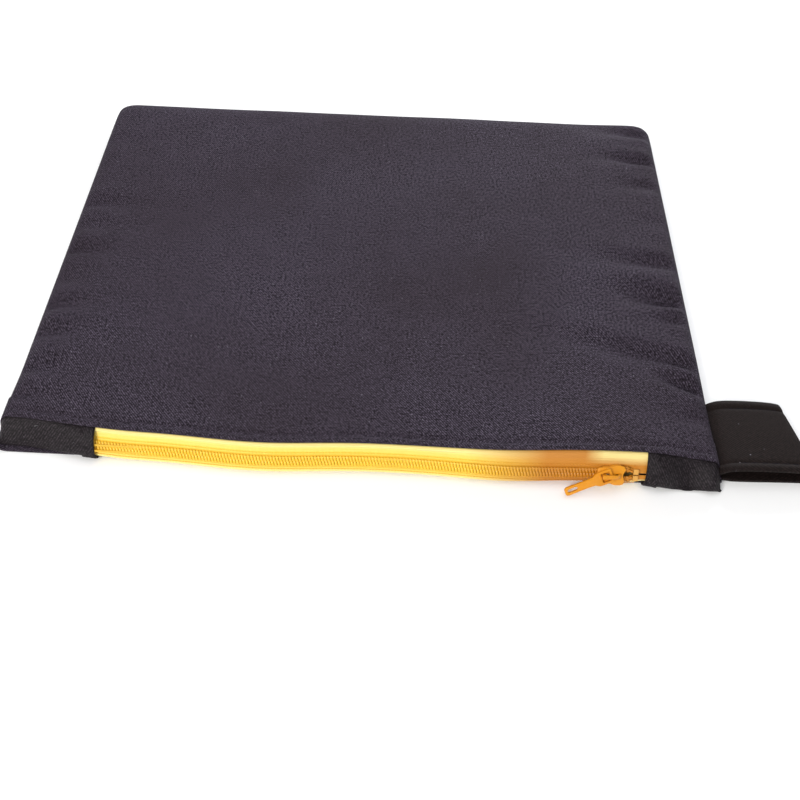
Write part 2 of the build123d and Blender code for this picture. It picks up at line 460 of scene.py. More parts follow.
@dataclass(frozen=True)
class Finish:
    """What all finishes share: a name, a Principled shader and a bump."""

    name: str
    roughness: float = 0.7
    sheen: float = 0.0
    specular: float = 0.5
    coat: float = 0.0
    metallic: float = 0.0
    bump: float = 0.3
    relief: float = 0.0002

    def start(self, with_uv: bool = False) -> tuple[bpy.types.Material, Tree, Node, Socket]:
        """Make the material and its shader.

        Args:
            with_uv: True for patterns that follow the cloth's own UV map.

        Returns:
            The material, its tree, the shader and the coordinate socket.
        """
        material = bpy.data.materials.new(self.name)
        material.use_nodes = True
        tree = material.node_tree
        shader = tree.nodes["Principled BSDF"]
        shader.inputs["Roughness"].default_value = self.roughness
        shader.inputs["Sheen Weight"].default_value = self.sheen
        shader.inputs["Sheen Roughness"].default_value = 0.45
        shader.inputs["Specular IOR Level"].default_value = self.specular
        shader.inputs["Coat Weight"].default_value = self.coat
        shader.inputs["Coat Roughness"].default_value = 0.2
        shader.inputs["Metallic"].default_value = self.metallic
        coordinates = tree.nodes.new("ShaderNodeTexCoord")
        return material, tree, shader, coordinates.outputs["UV" if with_uv else "Object"]

    def dent(self, tree: Tree, shader: Node, height: Socket) -> None:
        """Drive the shader's normal from a height.

        Args:
            tree: the material's node tree.
            shader: the shader that gets the normal.
            height: the socket of the height.
        """
        node = tree.nodes.new("ShaderNodeBump")
        node.inputs["Strength"].default_value = self.bump
        node.inputs["Distance"].default_value = self.relief
        tree.links.new(height, node.inputs["Height"])
        tree.links.new(node.outputs[0], shader.inputs["Normal"])


@dataclass(frozen=True)
class Twill(Finish):
    """Dark twill with diagonal ribs, slow tone drift and caught lint.

    Attributes:
        valley: colour between the ribs.
        rib: colour of the ribs.
        warm: colour that the cloth drifts to.
        speck: colour of the lint.
        pitch: distance between ribs, in metres.
        lint: share of places that carry lint.
        grain_scale: yarn grains in a metre.
        grain_gain: contrast of the grain.
        grain_base: brightness of the grain.
        warm_share: how strong the drift is.
        dust_share: how strong the fine pale drift is.
        lint_share: how strong the lint is.
        fuzz: height of the grain against the ribs.
    """

    valley: Colour = (0.002, 0.0015, 0.003, 1)
    rib: Colour = (0.158, 0.129, 0.180, 1)
    warm: Colour = (0.020, 0.014, 0.018, 1)
    speck: Colour = (0.30, 0.28, 0.33, 1)
    pitch: float = 0.00068
    lint: float = 0.02
    grain_scale: float = 1250.0
    grain_gain: float = 5.5
    grain_base: float = -2.3
    warm_share: float = 0.66
    dust_share: float = 0.05
    lint_share: float = 0.55
    fuzz: float = 0.4

    def make(self) -> bpy.types.Material:
        """Build the material.

        Returns:
            The material.
        """
        material, tree, shader, place = self.start(with_uv=True)
        weave = SHOP.use(tree, SHOP.twill, Vector=place, Pitch=self.pitch)
        drift = SHOP.use(tree, SHOP.drift, Vector=place)
        specks = SHOP.use(tree, SHOP.lint, Vector=place, Share=self.lint)
        grain = SHOP.noise(tree, place, self.grain_scale, 3.0, 0.85)
        grain = SHOP.math(
            tree, "MULTIPLY_ADD", grain, self.grain_gain, self.grain_base, clamped=True
        )
        lit = SHOP.math(tree, "MULTIPLY", weave.outputs["Rib"], grain)
        cloth = SHOP.blend(tree, lit, self.valley, self.rib)
        warmth = SHOP.math(tree, "MULTIPLY", drift.outputs["Broad"], self.warm_share)
        cloth = SHOP.blend(tree, warmth, cloth, self.warm)
        dusty = SHOP.math(tree, "MULTIPLY", drift.outputs["Fine"], self.dust_share)
        cloth = SHOP.blend(tree, dusty, cloth, self.rib)
        fluff = SHOP.math(tree, "MULTIPLY", specks.outputs["Mask"], self.lint_share)
        cloth = SHOP.blend(tree, fluff, cloth, self.speck)
        tree.links.new(cloth, shader.inputs["Base Color"])
        fuzz = SHOP.math(tree, "MULTIPLY_ADD", grain, self.fuzz, weave.outputs["Height"])
        self.dent(tree, shader, fuzz)
        return material


@dataclass(frozen=True)
class Tape(Finish):
    """Woven zip tape: fine lengthwise cords crossed by close weft, with painted highlights towards the hem
    and at the right end, and painted shade towards the right end.

    Attributes:
        ground: the tape's main colour.
        pale: colour on the cords' crowns.
        deep: colour of hollows and of the painted shade at the zip's right end.
        painted_highlight: colour of the painted highlight towards the hem and at the tape's right end.
        cord_pitch: distance between cords, in metres.
        weft_pitch: distance between weft yarns, in metres.
        weft_height: height of the weft against the cords.
        crown_share: how pale the crowns are.
        hollow_share: how deep the hollows are.
        patch_share: how strong the uneven pale patches are.
        highlight_rise: how fast the painted highlight grows away from the coil, for each metre.
        highlight_share: how strong the painted highlight is.
        highlight_patch_start: where along the zip the painted highlight patch starts, in metres.
        highlight_patch_run: over what length it grows, in metres.
    """

    ground: Colour = (0.95, 0.60, 0.030, 1)
    pale: Colour = (1.0, 0.80, 0.16, 1)
    deep: Colour = (0.52, 0.17, 0.004, 1)
    painted_highlight: Colour = (1.0, 0.86, 0.34, 1)
    cord_pitch: float = 0.00085
    weft_pitch: float = 0.00042
    weft_height: float = 0.45
    crown_share: float = 0.35
    hollow_share: float = 0.22
    patch_share: float = 0.2
    highlight_rise: float = 420.0
    highlight_share: float = 0.75
    highlight_patch_start: float = 0.070
    highlight_patch_run: float = 0.006

    def make(self) -> bpy.types.Material:
        """Build the material.

        Returns:
            The material.
        """
        material, tree, shader, place = self.start(with_uv=True)
        split = tree.nodes.new("ShaderNodeSeparateXYZ")
        tree.links.new(place, split.inputs[0])
        waves = []
        for output, pitch in ((1, self.cord_pitch), (0, self.weft_pitch)):
            wave = SHOP.wave(tree, split.outputs[output], pitch)
            waves.append(SHOP.math(tree, "MULTIPLY_ADD", wave, 0.5, 0.5))
        cords, weft = waves
        woven = SHOP.math(tree, "MULTIPLY_ADD", weft, self.weft_height, cords)
        drift = SHOP.use(tree, SHOP.drift, Vector=place, Broad=30.0, Fine=600.0)
        crowns = SHOP.math(tree, "MULTIPLY", cords, self.crown_share)
        cloth = SHOP.blend(tree, crowns, self.ground, self.pale)
        hollow = SHOP.math(tree, "SUBTRACT", 1.0, weft)
        hollow = SHOP.math(tree, "MULTIPLY", hollow, self.hollow_share)
        cloth = SHOP.blend(tree, hollow, cloth, self.deep)
        patches = SHOP.math(tree, "MULTIPLY", drift.outputs["Fine"], self.patch_share)
        cloth = SHOP.blend(tree, patches, cloth, self.pale)
        # Painted highlight: the tape is painted paler from about 2.4 mm past the coil, towards the hem,
        # where light falls on it.
        highlight_toward_hem = SHOP.math(
            tree, "MULTIPLY_ADD", split.outputs[1], self.highlight_rise, -1.0, clamped=True
        )
        painted_highlight = SHOP.math(tree, "MULTIPLY", highlight_toward_hem, self.highlight_share)
        cloth = SHOP.blend(tree, painted_highlight, cloth, self.painted_highlight)
        # Painted shade: the tape deepens to orange towards the zip's right end.
        cloth = SHOP.paint_shade_right(tree, place, cloth, self.deep)
        # Painted highlight: a pale patch near the hem at the tape's right end.
        end = SHOP.use(tree, SHOP.light_ramp, Vector=place, Start=self.highlight_patch_start, Run=self.highlight_patch_run)
        rubbed = SHOP.math(tree, "MULTIPLY", end.outputs["Mask"], highlight_toward_hem)
        rubbed = SHOP.math(tree, "MULTIPLY", rubbed, self.highlight_share)
        cloth = SHOP.blend(tree, rubbed, cloth, self.painted_highlight)
        tree.links.new(cloth, shader.inputs["Base Color"])
        self.dent(tree, shader, woven)
        return material


@dataclass(frozen=True)
class Smooth(Finish):
    """Cast, drawn or moulded surface with slight unevenness and rubbed high spots.

    Attributes:
        colour: the surface's main colour.
        rubbed: colour of its rubbed places.
        grain: fine unevenness in a metre.
        rubbed_share: how strong the rubbing is.
        unevenness: spread of the roughness.
        deep: colour of the painted shade at the zip's right end, if it has one.
    """

    colour: Colour = (0.8, 0.5, 0.05, 1)
    rubbed: Colour = (0.9, 0.7, 0.3, 1)
    grain: float = 900.0
    rubbed_share: float = 0.25
    unevenness: float = 0.16
    deep: Colour | None = None

    def make(self) -> bpy.types.Material:
        """Build the material.

        Returns:
            The material.
        """
        material, tree, shader, place = self.start()
        drift = SHOP.use(tree, SHOP.drift, Vector=place, Broad=90.0, Fine=self.grain)
        share = SHOP.math(tree, "MULTIPLY", drift.outputs["Broad"], self.rubbed_share)
        skin = SHOP.blend(tree, share, self.colour, self.rubbed)
        # Painted shade towards the zip's right end, where a deep colour is given.
        if self.deep:
            skin = SHOP.paint_shade_right(tree, place, skin, self.deep)
        tree.links.new(skin, shader.inputs["Base Color"])
        smoothest = self.roughness - self.unevenness / 2
        rough = SHOP.math(
            tree, "MULTIPLY_ADD", drift.outputs["Fine"], self.unevenness, smoothest
        )
        tree.links.new(rough, shader.inputs["Roughness"])
        self.dent(tree, shader, drift.outputs["Fine"])
        return material


@dataclass(frozen=True)
class Thread(Finish):
    """Twisted sewing thread or cord.

    Attributes:
        colour: colour between the plies.
        crown: colour on the plies.
        twist: distance between plies, in metres.
        deep: colour of the painted shade at the zip's right end, if it has one.
    """

    colour: Colour = (0.03, 0.026, 0.034, 1)
    crown: Colour = (0.10, 0.09, 0.11, 1)
    twist: float = 0.00022
    deep: Colour | None = None

    def make(self) -> bpy.types.Material:
        """Build the material.

        Returns:
            The material.
        """
        material, tree, shader, place = self.start()
        split = tree.nodes.new("ShaderNodeSeparateXYZ")
        tree.links.new(place, split.inputs[0])
        slanted = SHOP.math(tree, "ADD", split.outputs[0], split.outputs[1])
        wave = SHOP.wave(tree, slanted, self.twist)
        ply = SHOP.math(tree, "MULTIPLY_ADD", wave, 0.5, 0.5)
        skin = SHOP.blend(tree, ply, self.colour, self.crown)
        # Painted shade towards the zip's right end, where a deep colour is given.
        if self.deep:
            skin = SHOP.paint_shade_right(tree, place, skin, self.deep)
        tree.links.new(skin, shader.inputs["Base Color"])
        self.dent(tree, shader, ply)
        return material


@dataclass(frozen=True)
class GlassCloth(Finish):
    """Plain-woven coated glass cloth."""

    light: Colour = (0.50, 0.51, 0.52, 1)
    dark: Colour = (0.20, 0.21, 0.22, 1)
    yarn_pitch: float = 0.0011

    def make(self) -> bpy.types.Material:
        """Build the material.

        Returns:
            The material.
        """
        material, tree, shader, place = self.start(with_uv=True)
        split = tree.nodes.new("ShaderNodeSeparateXYZ")
        tree.links.new(place, split.inputs[0])
        warp, weft = (SHOP.wave(tree, split.outputs[k], self.yarn_pitch) for k in (0, 1))
        over = SHOP.math(tree, "MULTIPLY", warp, weft)
        level = SHOP.math(tree, "MULTIPLY_ADD", over, 0.5, 0.5, clamped=True)
        tree.links.new(SHOP.blend(tree, level, self.dark, self.light), shader.inputs["Base Color"])
        self.dent(tree, shader, level)
        return material


@dataclass(frozen=True)
class Backdrop(Finish):
    """Plain pale floor."""

    colour: Colour = (0.95, 0.95, 0.95, 1)

    def make(self) -> bpy.types.Material:
        """Build the material.

        Returns:
            The material.
        """
        material, tree, shader, place = self.start()
        drift = SHOP.use(tree, SHOP.drift, Vector=place, Broad=2.0, Fine=9.0)
        share = SHOP.math(tree, "MULTIPLY", drift.outputs["Broad"], 0.02)
        lighter = tuple(min(c * 1.02, 1.0) for c in self.colour)
        tree.links.new(SHOP.blend(tree, share, self.colour, lighter), shader.inputs["Base Color"])
        return material


class Palette:
    """The object's finishes, each made once."""

    def __init__(self) -> None:
        """Build every material."""
        self.panel = Twill("panel_twill", roughness=0.85, specular=0.08, bump=0.5).make()
        # The tabs are the panel's twill painted much darker: painted shade on the tabs at the mouth's ends.
        self.tab = Twill(
            "tab_twill",
            roughness=0.5,
            specular=0.12,
            bump=0.4,
            valley=(0.004, 0.003, 0.004, 1),
            rib=(0.060, 0.048, 0.056, 1),
            warm=(0.009, 0.006, 0.006, 1),
            lint=0.004,
        ).make()
        self.strap = Twill(
            "strap_twill",
            roughness=0.72,
            specular=0.1,
            bump=0.4,
            valley=(0.003, 0.002, 0.002, 1),
            rib=(0.034, 0.022, 0.021, 1),
            warm=(0.009, 0.005, 0.004, 1),
            lint=0.004,
        ).make()
        self.tape = Tape("zip_tape_weave", roughness=0.5, sheen=0.15, specular=0.5, bump=0.35).make()
        self.coil = Smooth(
            "coil_nylon",
            roughness=0.36,
            bump=0.1,
            coat=0.15,
            colour=(0.88, 0.52, 0.025, 1),
            rubbed=(0.96, 0.66, 0.08, 1),
            deep=(0.50, 0.17, 0.005, 1),
        ).make()
        self.zip_thread = Thread(
            "zip_thread",
            roughness=0.55,
            colour=(0.80, 0.44, 0.02, 1),
            crown=(1.0, 0.72, 0.10, 1),
            deep=(0.60, 0.22, 0.008, 1),
        ).make()
        self.cord = Thread(
            "filler_cord_braid",
            colour=(0.66, 0.36, 0.02, 1),
            crown=(0.86, 0.54, 0.05, 1),
            deep=(0.50, 0.17, 0.005, 1),
        ).make()
        self.thread = Thread(
            "dark_thread",
            roughness=0.8,
            specular=0.05,
            bump=0.4,
            colour=(0.006, 0.005, 0.007, 1),
            crown=(0.018, 0.015, 0.020, 1),
        ).make()
        # The slider's enamel is painted the deep orange of the zip's shaded right end: painted shade on
        # yellow enamel.
        self.paint = Smooth(
            "slider_enamel",
            roughness=0.36,
            specular=0.35,
            coat=0.12,
            bump=0.12,
            colour=(0.66, 0.24, 0.006, 1),
            rubbed=(0.82, 0.38, 0.02, 1),
            rubbed_share=0.4,
        ).make()
        self.stop = Smooth(
            "stop_enamel", roughness=0.35, coat=0.3, colour=(0.60, 0.25, 0.012, 1), rubbed_share=0.3
        ).make()
        self.steel = Smooth(
            "spring_strip",
            roughness=0.28,
            metallic=1.0,
            colour=(0.55, 0.55, 0.56, 1),
            rubbed=(0.68, 0.67, 0.66, 1),
        ).make()
        self.lining = GlassCloth("glass_cloth", roughness=0.6, bump=0.4).make()
        self.floor = Backdrop("pale_floor", roughness=0.9, specular=0.1).make()


# ---------------------------------------------------------------- mesh helpers


def to_object(
    bm: bmesh.types.BMesh,
    name: str,
    material: bpy.types.Material,
    body: Body | None,
    stands_for: Iterable[str] = (),
) -> bpy.types.Object:
    """Turn a mesh in millimetres into a finished piece in metres.

    Args:
        bm: the mesh, which is freed.
        name: the piece's name.
        material: its finish.
        body: what it rides on, or None to leave it on no body.
        stands_for: CAD nodes that the piece replaces.

    Returns:
        The new object.
    """
    bmesh.ops.scale(bm, vec=(MM, MM, MM), verts=bm.verts)
    for face in bm.faces:
        face.smooth = True
    mesh = bpy.data.meshes.new(name)
    bm.to_mesh(mesh)
    bm.free()
    mesh.materials.append(material)
    piece = bpy.data.objects.new(name, mesh)
    bpy.context.scene.collection.objects.link(piece)
    if body:
        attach(piece, body.value)
    if stands_for:
        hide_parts(*stands_for)
    return piece


def settle(piece: bpy.types.Object) -> None:
    """Apply a piece's modifiers to its mesh.

    Args:
        piece: the piece, which gets the finished mesh.
    """
    graph = bpy.context.evaluated_depsgraph_get()
    mesh = bpy.data.meshes.new_from_object(piece.evaluated_get(graph))
    piece.modifiers.clear()
    piece.data = mesh


def thicken(piece: bpy.types.Object, thickness: float, offset: float) -> None:
    """Give a sheet its cloth thickness.

    Args:
        piece: the sheet.
        thickness: the cloth's thickness.
        offset: -1 grows inwards, 0 both ways.
    """
    wall = piece.modifiers.new("thickness", "SOLIDIFY")
    wall.thickness = thickness * MM
    wall.offset = offset
    wall.use_even_offset = False
    settle(piece)


def bevelled(piece: bpy.types.Object, width: float, segments: int = 2) -> None:
    """Round a piece's sharp edges.

    Args:
        piece: the piece.
        width: width of the rounding, in millimetres.
        segments: steps in it.
    """
    edge = piece.modifiers.new("rounded", "BEVEL")
    edge.width = width * MM
    edge.segments = segments
    edge.limit_method = "ANGLE"
    edge.angle_limit = math.radians(40)
    settle(piece)


def cut(piece: bpy.types.Object, cutter: bpy.types.Object) -> None:
    """Take a cutter's volume out of a piece and remove the cutter.

    Args:
        piece: the piece that is cut.
        cutter: the volume that is taken out.
    """
    knife = piece.modifiers.new("cut", "BOOLEAN")
    knife.operation = "DIFFERENCE"
    knife.solver = "EXACT"
    knife.object = cutter
    settle(piece)
    bpy.data.objects.remove(cutter, do_unlink=True)


def paced(points: Sequence[Vector]) -> list[float]:
    """Running length of a line of points.

    Args:
        points: the line's points.

    Returns:
        The length from the first point to each point.
    """
    lengths = [0.0]
    for here, after in zip(points, points[1:]):
        lengths.append(lengths[-1] + (after - here).length)
    return lengths


def woven_grid(
    columns: Sequence[float], rows: Sequence[float], place: Place, measured: bool = False
) -> bmesh.types.BMesh:
    """A sheet of cloth: a grid shaped by a function, with its flat places as UVs in metres.

    Args:
        columns: places across the cloth.
        rows: places along the cloth.
        place: gives the point for a column and a row, in millimetres.
        measured: True to measure the flat places along the shaped cloth's middle lines.

    Returns:
        The mesh.
    """
    bm = bmesh.new()
    across, along = len(columns) - 1, len(rows) - 1
    bmesh.ops.create_grid(bm, x_segments=across, y_segments=along, size=1.0)
    flat_columns, flat_rows = columns, rows
    if measured:
        flat_columns = paced([place(column, rows[along // 2]) for column in columns])
        flat_rows = paced([place(columns[across // 2], row) for row in rows])
    flat: dict[bmesh.types.BMVert, tuple[float, float]] = {}
    for vert in bm.verts:
        i = round((vert.co.x + 1) / 2 * across)
        j = round((vert.co.y + 1) / 2 * along)
        flat[vert] = (flat_columns[i] * MM, flat_rows[j] * MM)
        vert.co = place(columns[i], rows[j])
    weave = bm.loops.layers.uv.new("Cloth")
    for face in bm.faces:
        for loop in face.loops:
            loop[weave].uv = flat[loop.vert]
    return bm


def stretch_weave(bm: bmesh.types.BMesh, factor: Vector) -> None:
    """Scale a sheet's flat places, where its stations were shares and not millimetres.

    Args:
        bm: the sheet.
        factor: millimetres for each share, across and along.
    """
    weave = bm.loops.layers.uv.active
    for face in bm.faces:
        for loop in face.loops:
            loop[weave].uv = (loop[weave].uv.x * factor.x, loop[weave].uv.y * factor.y)


def face_up(bm: bmesh.types.BMesh, outward: Vector) -> None:
    """Turn a sheet over if its middle faces away from a direction.

    Args:
        bm: the sheet.
        outward: the direction that its outer face looks in.
    """
    bm.normal_update()
    total = sum((face.normal * face.calc_area() for face in bm.faces), Vector())
    if total.dot(outward) < 0:
        bmesh.ops.reverse_faces(bm, faces=bm.faces)


def slab(outline: Sequence[tuple[float, float]], low: float, high: float) -> bmesh.types.BMesh:
    """A flat plate: an outline in X and Y, raised from low to high.

    Args:
        outline: the plate's corners.
        low: its lower face.
        high: its upper face.

    Returns:
        The plate.
    """
    bm = bmesh.new()
    ring = [bm.verts.new((x, y, low)) for x, y in outline]
    base = bm.faces.new(ring)
    grown = bmesh.ops.extrude_face_region(bm, geom=[base])
    moved = [v for v in grown["geom"] if isinstance(v, bmesh.types.BMVert)]
    bmesh.ops.translate(bm, vec=(0, 0, high - low), verts=moved)
    bmesh.ops.recalc_face_normals(bm, faces=bm.faces)
    return bm


def merge(target: bmesh.types.BMesh, addition: bmesh.types.BMesh) -> None:
    """Add one mesh to another and free it.

    Args:
        target: the mesh that grows.
        addition: the mesh that is added.
    """
    mesh = bpy.data.meshes.new("addition")
    addition.to_mesh(mesh)
    addition.free()
    target.from_mesh(mesh)
    bpy.data.meshes.remove(mesh)


def running_stitch(
    bm: bmesh.types.BMesh, line: Line, count: int, size: tuple[float, float], sink: float
) -> None:
    """Sew a thread that dips into the cloth between its stitches.

    Args:
        bm: the mesh that gets the thread.
        line: gives a point on the cloth and the outward direction for a share of the row.
        count: how many stitches the row has.
        size: half width and half height of the thread.
        sink: how deep it goes between stitches.
    """

    def place(angle: float, s: float) -> Vector:
        """Shape the thread.

        Args:
            angle: angle round the thread.
            s: number of stitches along.

        Returns:
            The point.
        """
        share = clamp(s / count)
        point, outward = line(share)
        ahead, behind = line(min(share + 0.002, 1.0))[0], line(max(share - 0.002, 0.0))[0]
        aside = outward.cross(ahead - behind).normalized()
        arch = abs(math.sin(math.pi * s)) ** 0.6
        width, height = size[0] * mix(0.55, 1.0, arch), size[1]
        lift = outward * (height * (math.sin(angle) + 0.4) * arch - sink * (1 - arch))
        return point + aside * (width * math.cos(angle)) + lift

    thread = woven_grid(even(0, 2 * math.pi, 6), even(0, count, count * 8), place)
    bmesh.ops.remove_doubles(thread, verts=thread.verts, dist=0.0005)
    merge(bm, thread)


# ---------------------------------------------------------------- the pouch's form


@dataclass(frozen=True)
class Bulge:
    """A bell-shaped swell along a line: its height, its middle and its width."""

    height: float
    middle: float
    width: float

    def at(self, place: float) -> float:
        """Its height at a place on the line."""
        return self.height * bell(place - self.middle, self.width)


@dataclass(frozen=True)
class SeamFold:
    """A soft fold that runs in from a side seam.

    Attributes:
        side: the seam it starts from.
        y: where it meets the seam.
        depth: how deep its valley is.
        width: half width of the valley along the seam.
        reach: how far in it runs.
        slant: how far it drifts towards the far seam for each millimetre in.
    """

    side: Side
    y: float
    depth: float
    width: float
    reach: float
    slant: float = 0.0

    def drop(self, y: float, inward: float) -> float:
        """Height that the fold takes away at a place, with a ridge along each side.

        Args:
            y: place along the seam.
            inward: distance in from the seam.

        Returns:
            The height, less than 0 on the ridges.
        """
        t = (y - self.y - self.slant * inward) / (self.width * (1 + 0.4 * inward / self.reach))
        cross = (1 - 0.9 * t * t) * math.exp(-0.55 * t * t)
        along = smoothstep(0, 5, inward) * bell(max(inward - 5, 0), self.reach)
        return self.depth * cross * along


FOLDS = (
    SeamFold(Side.HIGH, 79, 2.512, 3.2, 20, 0.10),
    SeamFold(Side.HIGH, 61, 2.24, 2.4, 17, 0.05),
    SeamFold(Side.HIGH, 45, 1.408, 2.6, 13),
    SeamFold(Side.HIGH, 24, 0.704, 3.0, 12),
    SeamFold(Side.HIGH, 1, 2.24, 3.0, 24, 0.06),
    SeamFold(Side.HIGH, -17, 4.192, 3.8, 17, 0.05),
    SeamFold(Side.HIGH, -27, 1.68, 2.2, 12),
    SeamFold(Side.HIGH, -48, 2.8, 3.4, 34, 0.22),
    SeamFold(Side.HIGH, -58, 3.36, 2.8, 15, 0.34),
    SeamFold(Side.HIGH, -70, 0.976, 2.4, 9),
    SeamFold(Side.LOW, 60, 0.56, 3.5, 14),
    SeamFold(Side.LOW, 22, 1.792, 3.0, 14, -0.04),
    SeamFold(Side.LOW, 8, 0.672, 2.5, 10),
    SeamFold(Side.LOW, -4, 2.016, 2.8, 13, -0.06),
    SeamFold(Side.LOW, -20, 0.672, 2.4, 8),
    SeamFold(Side.LOW, -33, 1.792, 2.6, 11, 0.05),
    SeamFold(Side.LOW, -46, 2.016, 2.8, 12, 0.08),
    SeamFold(Side.LOW, -62, 1.792, 2.6, 10, 0.05),
    SeamFold(Side.LOW, -75, 1.344, 2.4, 8),
)


MOUTH_BULGES = (Bulge(1.9, -34, 24), Bulge(1.2, 45, 22))


@dataclass
class PouchForm:
    """The laid-down shape of the pouch that all of its cloth follows, in millimetres.

    Attributes:
        half_width: from the middle to a side seam.
        far_y: the far seam.
        seam_z: height of the side and far seams.
        crown_z: height in the middle.
        opening: half length of the zip between its tabs.
        chain: a point on the line where the coils meet, on the tapes' outer face.
        slope: the band's angle from level, in radians.
        lip_v: distance up the band from the chain to the hem's fold.
        lip_n: height of the hem's upper face above the band.
        lip_rise: how much higher up the band the hem lies at the right.
        foot_v: distance down the band from the chain to where the lower tape turns under.
        foot_rise: how much less that is at the right.
        side_roll: how far in the side edges are rounded.
        far_roll: how far in the far edge is rounded.
        left_corner: radius of the left far corner.
        right_corner: radius of the right far corner.
        left_corner_drop: how far the hem sinks at its left end.
        right_corner_drop: how far the hem sinks at its right end.
        drawn_back: how far the mouth lies back at its left end.
        stitch_setback: from the hem's fold to its row of stitches.
        stitch_pitch: length of a stitch.
        stitch_dent: how deep the stitches are pressed in.
    """

    half_width: float
    far_y: float
    seam_z: float
    crown_z: float
    opening: float
    chain: Vector
    slope: float = math.radians(55)
    lip_v: float = 6.5
    lip_n: float = 0.8
    lip_rise: float = 1.5
    foot_v: float = 3.3
    foot_rise: float = 0.7
    side_roll: float = 10.0
    far_roll: float = 13.0
    left_corner: float = 3.5
    right_corner: float = 6.0
    left_corner_drop: float = 1.2
    right_corner_drop: float = 4.3
    drawn_back: float = 2.8
    stitch_setback: float = 2.9
    stitch_pitch: float = 2.9
    stitch_dent: float = 0.75

    @classmethod
    def from_frame(cls) -> "PouchForm":
        """Take the sizes from the CAD nodes.

        Returns:
            The form.
        """
        low, high = box_mm("front_panel")
        tab_low, _ = box_mm("end_tab_right")
        coil_low, _ = box_mm("zip_coil_upper")
        coil_gap, coil_height = 0.1, 1.2
        across = coil_gap * math.cos(cls.slope) - coil_height * math.sin(cls.slope)
        chain = Vector((0, coil_low.y - across, coil_low.z - coil_gap * math.sin(cls.slope)))
        return cls(
            half_width=high.x,
            far_y=high.y,
            seam_z=2.0,
            crown_z=high.z - 0.3,
            opening=tab_low.x,
            chain=chain,
        )

    @property
    def up(self) -> Vector:
        """Direction up the band's slope."""
        return Vector((0, math.cos(self.slope), math.sin(self.slope)))

    @property
    def out(self) -> Vector:
        """Direction straight out of the band."""
        return Vector((0, -math.sin(self.slope), math.cos(self.slope)))

    def bow(self, x: float) -> float:
        """How far the mouth bulges forward, and draws back towards its left-hand corner."""
        drawn = self.drawn_back * smoothstep(70, 112, -x)
        return sum(bulge.at(x) for bulge in MOUTH_BULGES) - drawn

    def lay(self, x: float, y: float, z: float) -> Vector:
        """Place a point of the sewn body as the pouch lies, slightly askew.

        Args:
            x: across the pouch.
            y: along it.
            z: height.

        Returns:
            The point on the lying pouch.
        """
        far = clamp((y + 90) / 180)
        aside = far * (1.3 - 0.7 * x / self.half_width)
        aside -= 1.4 * (1 - far) * smoothstep(60, 112, -x)
        return Vector((x + aside, y + 3.0 * far * x / self.half_width, z))

    def band(self, x: float, v: float, n: float) -> Vector:
        """A point on the zip's plane: x along, v up the slope, n out of it."""
        return Vector((x, -self.bow(x), 0)) + self.chain + self.up * v + self.out * n

    def lip(self, x: float) -> Vector:
        """The hem's upper face just before it folds under.

        Args:
            x: place along the zip.

        Returns:
            The point.
        """
        v = self.lip_v + self.lip_rise * smoothstep(10, 70, x)
        point = self.band(x, v, self.lip_n)
        left = smoothstep(self.opening, self.half_width, -x)
        right = smoothstep(self.opening, self.half_width + 3, x)
        point.z -= self.left_corner_drop * left + self.right_corner_drop * right
        point.y += 1.4 * left + 0.4 * right
        return point

    def foot(self, x: float) -> Vector:
        """Where the lower cloth of the mouth turns under.

        Args:
            x: place along the zip.

        Returns:
            The point.
        """
        v = -self.foot_v + self.foot_rise * smoothstep(40, 72, x)
        point = self.band(x, v, -0.3)
        left = smoothstep(self.opening, self.half_width, -x)
        right = smoothstep(self.opening, self.opening + 14, x)
        point.z = mix(point.z, 1.5, max(left, right))
        point.y += 1.3 * left - 0.6 * right
        return point

    def half_width_at(self, y: float, right: bool) -> float:
        """Half width of the pouch, with rounded far corners.

        Args:
            y: place along the pouch.
            right: True for the right-hand side.

        Returns:
            Distance from the middle line to the seam.
        """
        corner = self.right_corner if right else self.left_corner
        past = max(y - (self.far_y - corner), 0)
        return self.half_width - (corner - math.sqrt(max(corner**2 - past**2, 0)))

    def relief(self, x: float, y: float) -> float:
        """Soft undulation of the lying cloth and the folds from the side seams.

        Args:
            x: across the pouch.
            y: along it.

        Returns:
            The height to add.
        """
        broad = noise.noise(Vector((x / 58, y / 46, 3.1))) * 0.7
        mid = noise.noise(Vector((x / 24, y / 17, 8.4))) * 0.22
        total = broad + mid
        side = Side.HIGH if x > 0 else Side.LOW
        inward = self.half_width_at(y, x > 0) - abs(x)
        for crease in FOLDS:
            if crease.side is side:
                total -= crease.drop(y, inward)
        return total

    def top(self, x: float, y: float) -> float:
        """Height of the front panel's outer face.

        Args:
            x: across the pouch.
            y: along it.

        Returns:
            The height, without the hem's stitch row.
        """
        lip = self.lip(x)
        from_mouth = y - lip.y
        height = mix(lip.z, self.crown_z, smoothstep(0, 42, from_mouth))
        side_roll = mix(3.2, self.side_roll, smoothstep(0, 26, from_mouth))
        side = roll(self.half_width_at(y, x > 0) - abs(x), side_roll)
        far = roll(self.far_y - y, self.far_roll)
        calm = smoothstep(0, 16, from_mouth) * side * far
        height += self.relief(x, y) * calm
        return self.seam_z + (height - self.seam_z) * side * far

    def stitched_top(self, x: float, y: float) -> float:
        """The top face with the hem's stitch row pressed in and its lip puffed up.

        Args:
            x: across the pouch.
            y: along it.

        Returns:
            The height.
        """
        from_lip = y - self.lip(x).y
        pull = 0.72 + 0.28 * math.cos(2 * math.pi * x / self.stitch_pitch)
        fade = smoothstep(0, 6, self.half_width - abs(x))
        dent = self.stitch_dent * bell(from_lip - self.stitch_setback, 0.75) * pull
        puff = 0.45 * bell(from_lip - 1.2, 1.1)
        puff += 0.16 * bell(from_lip - self.stitch_setback - 2.6, 1.6)
        return self.top(x, y) + (puff - dent) * fade


# ---------------------------------------------------------------- the outer panels


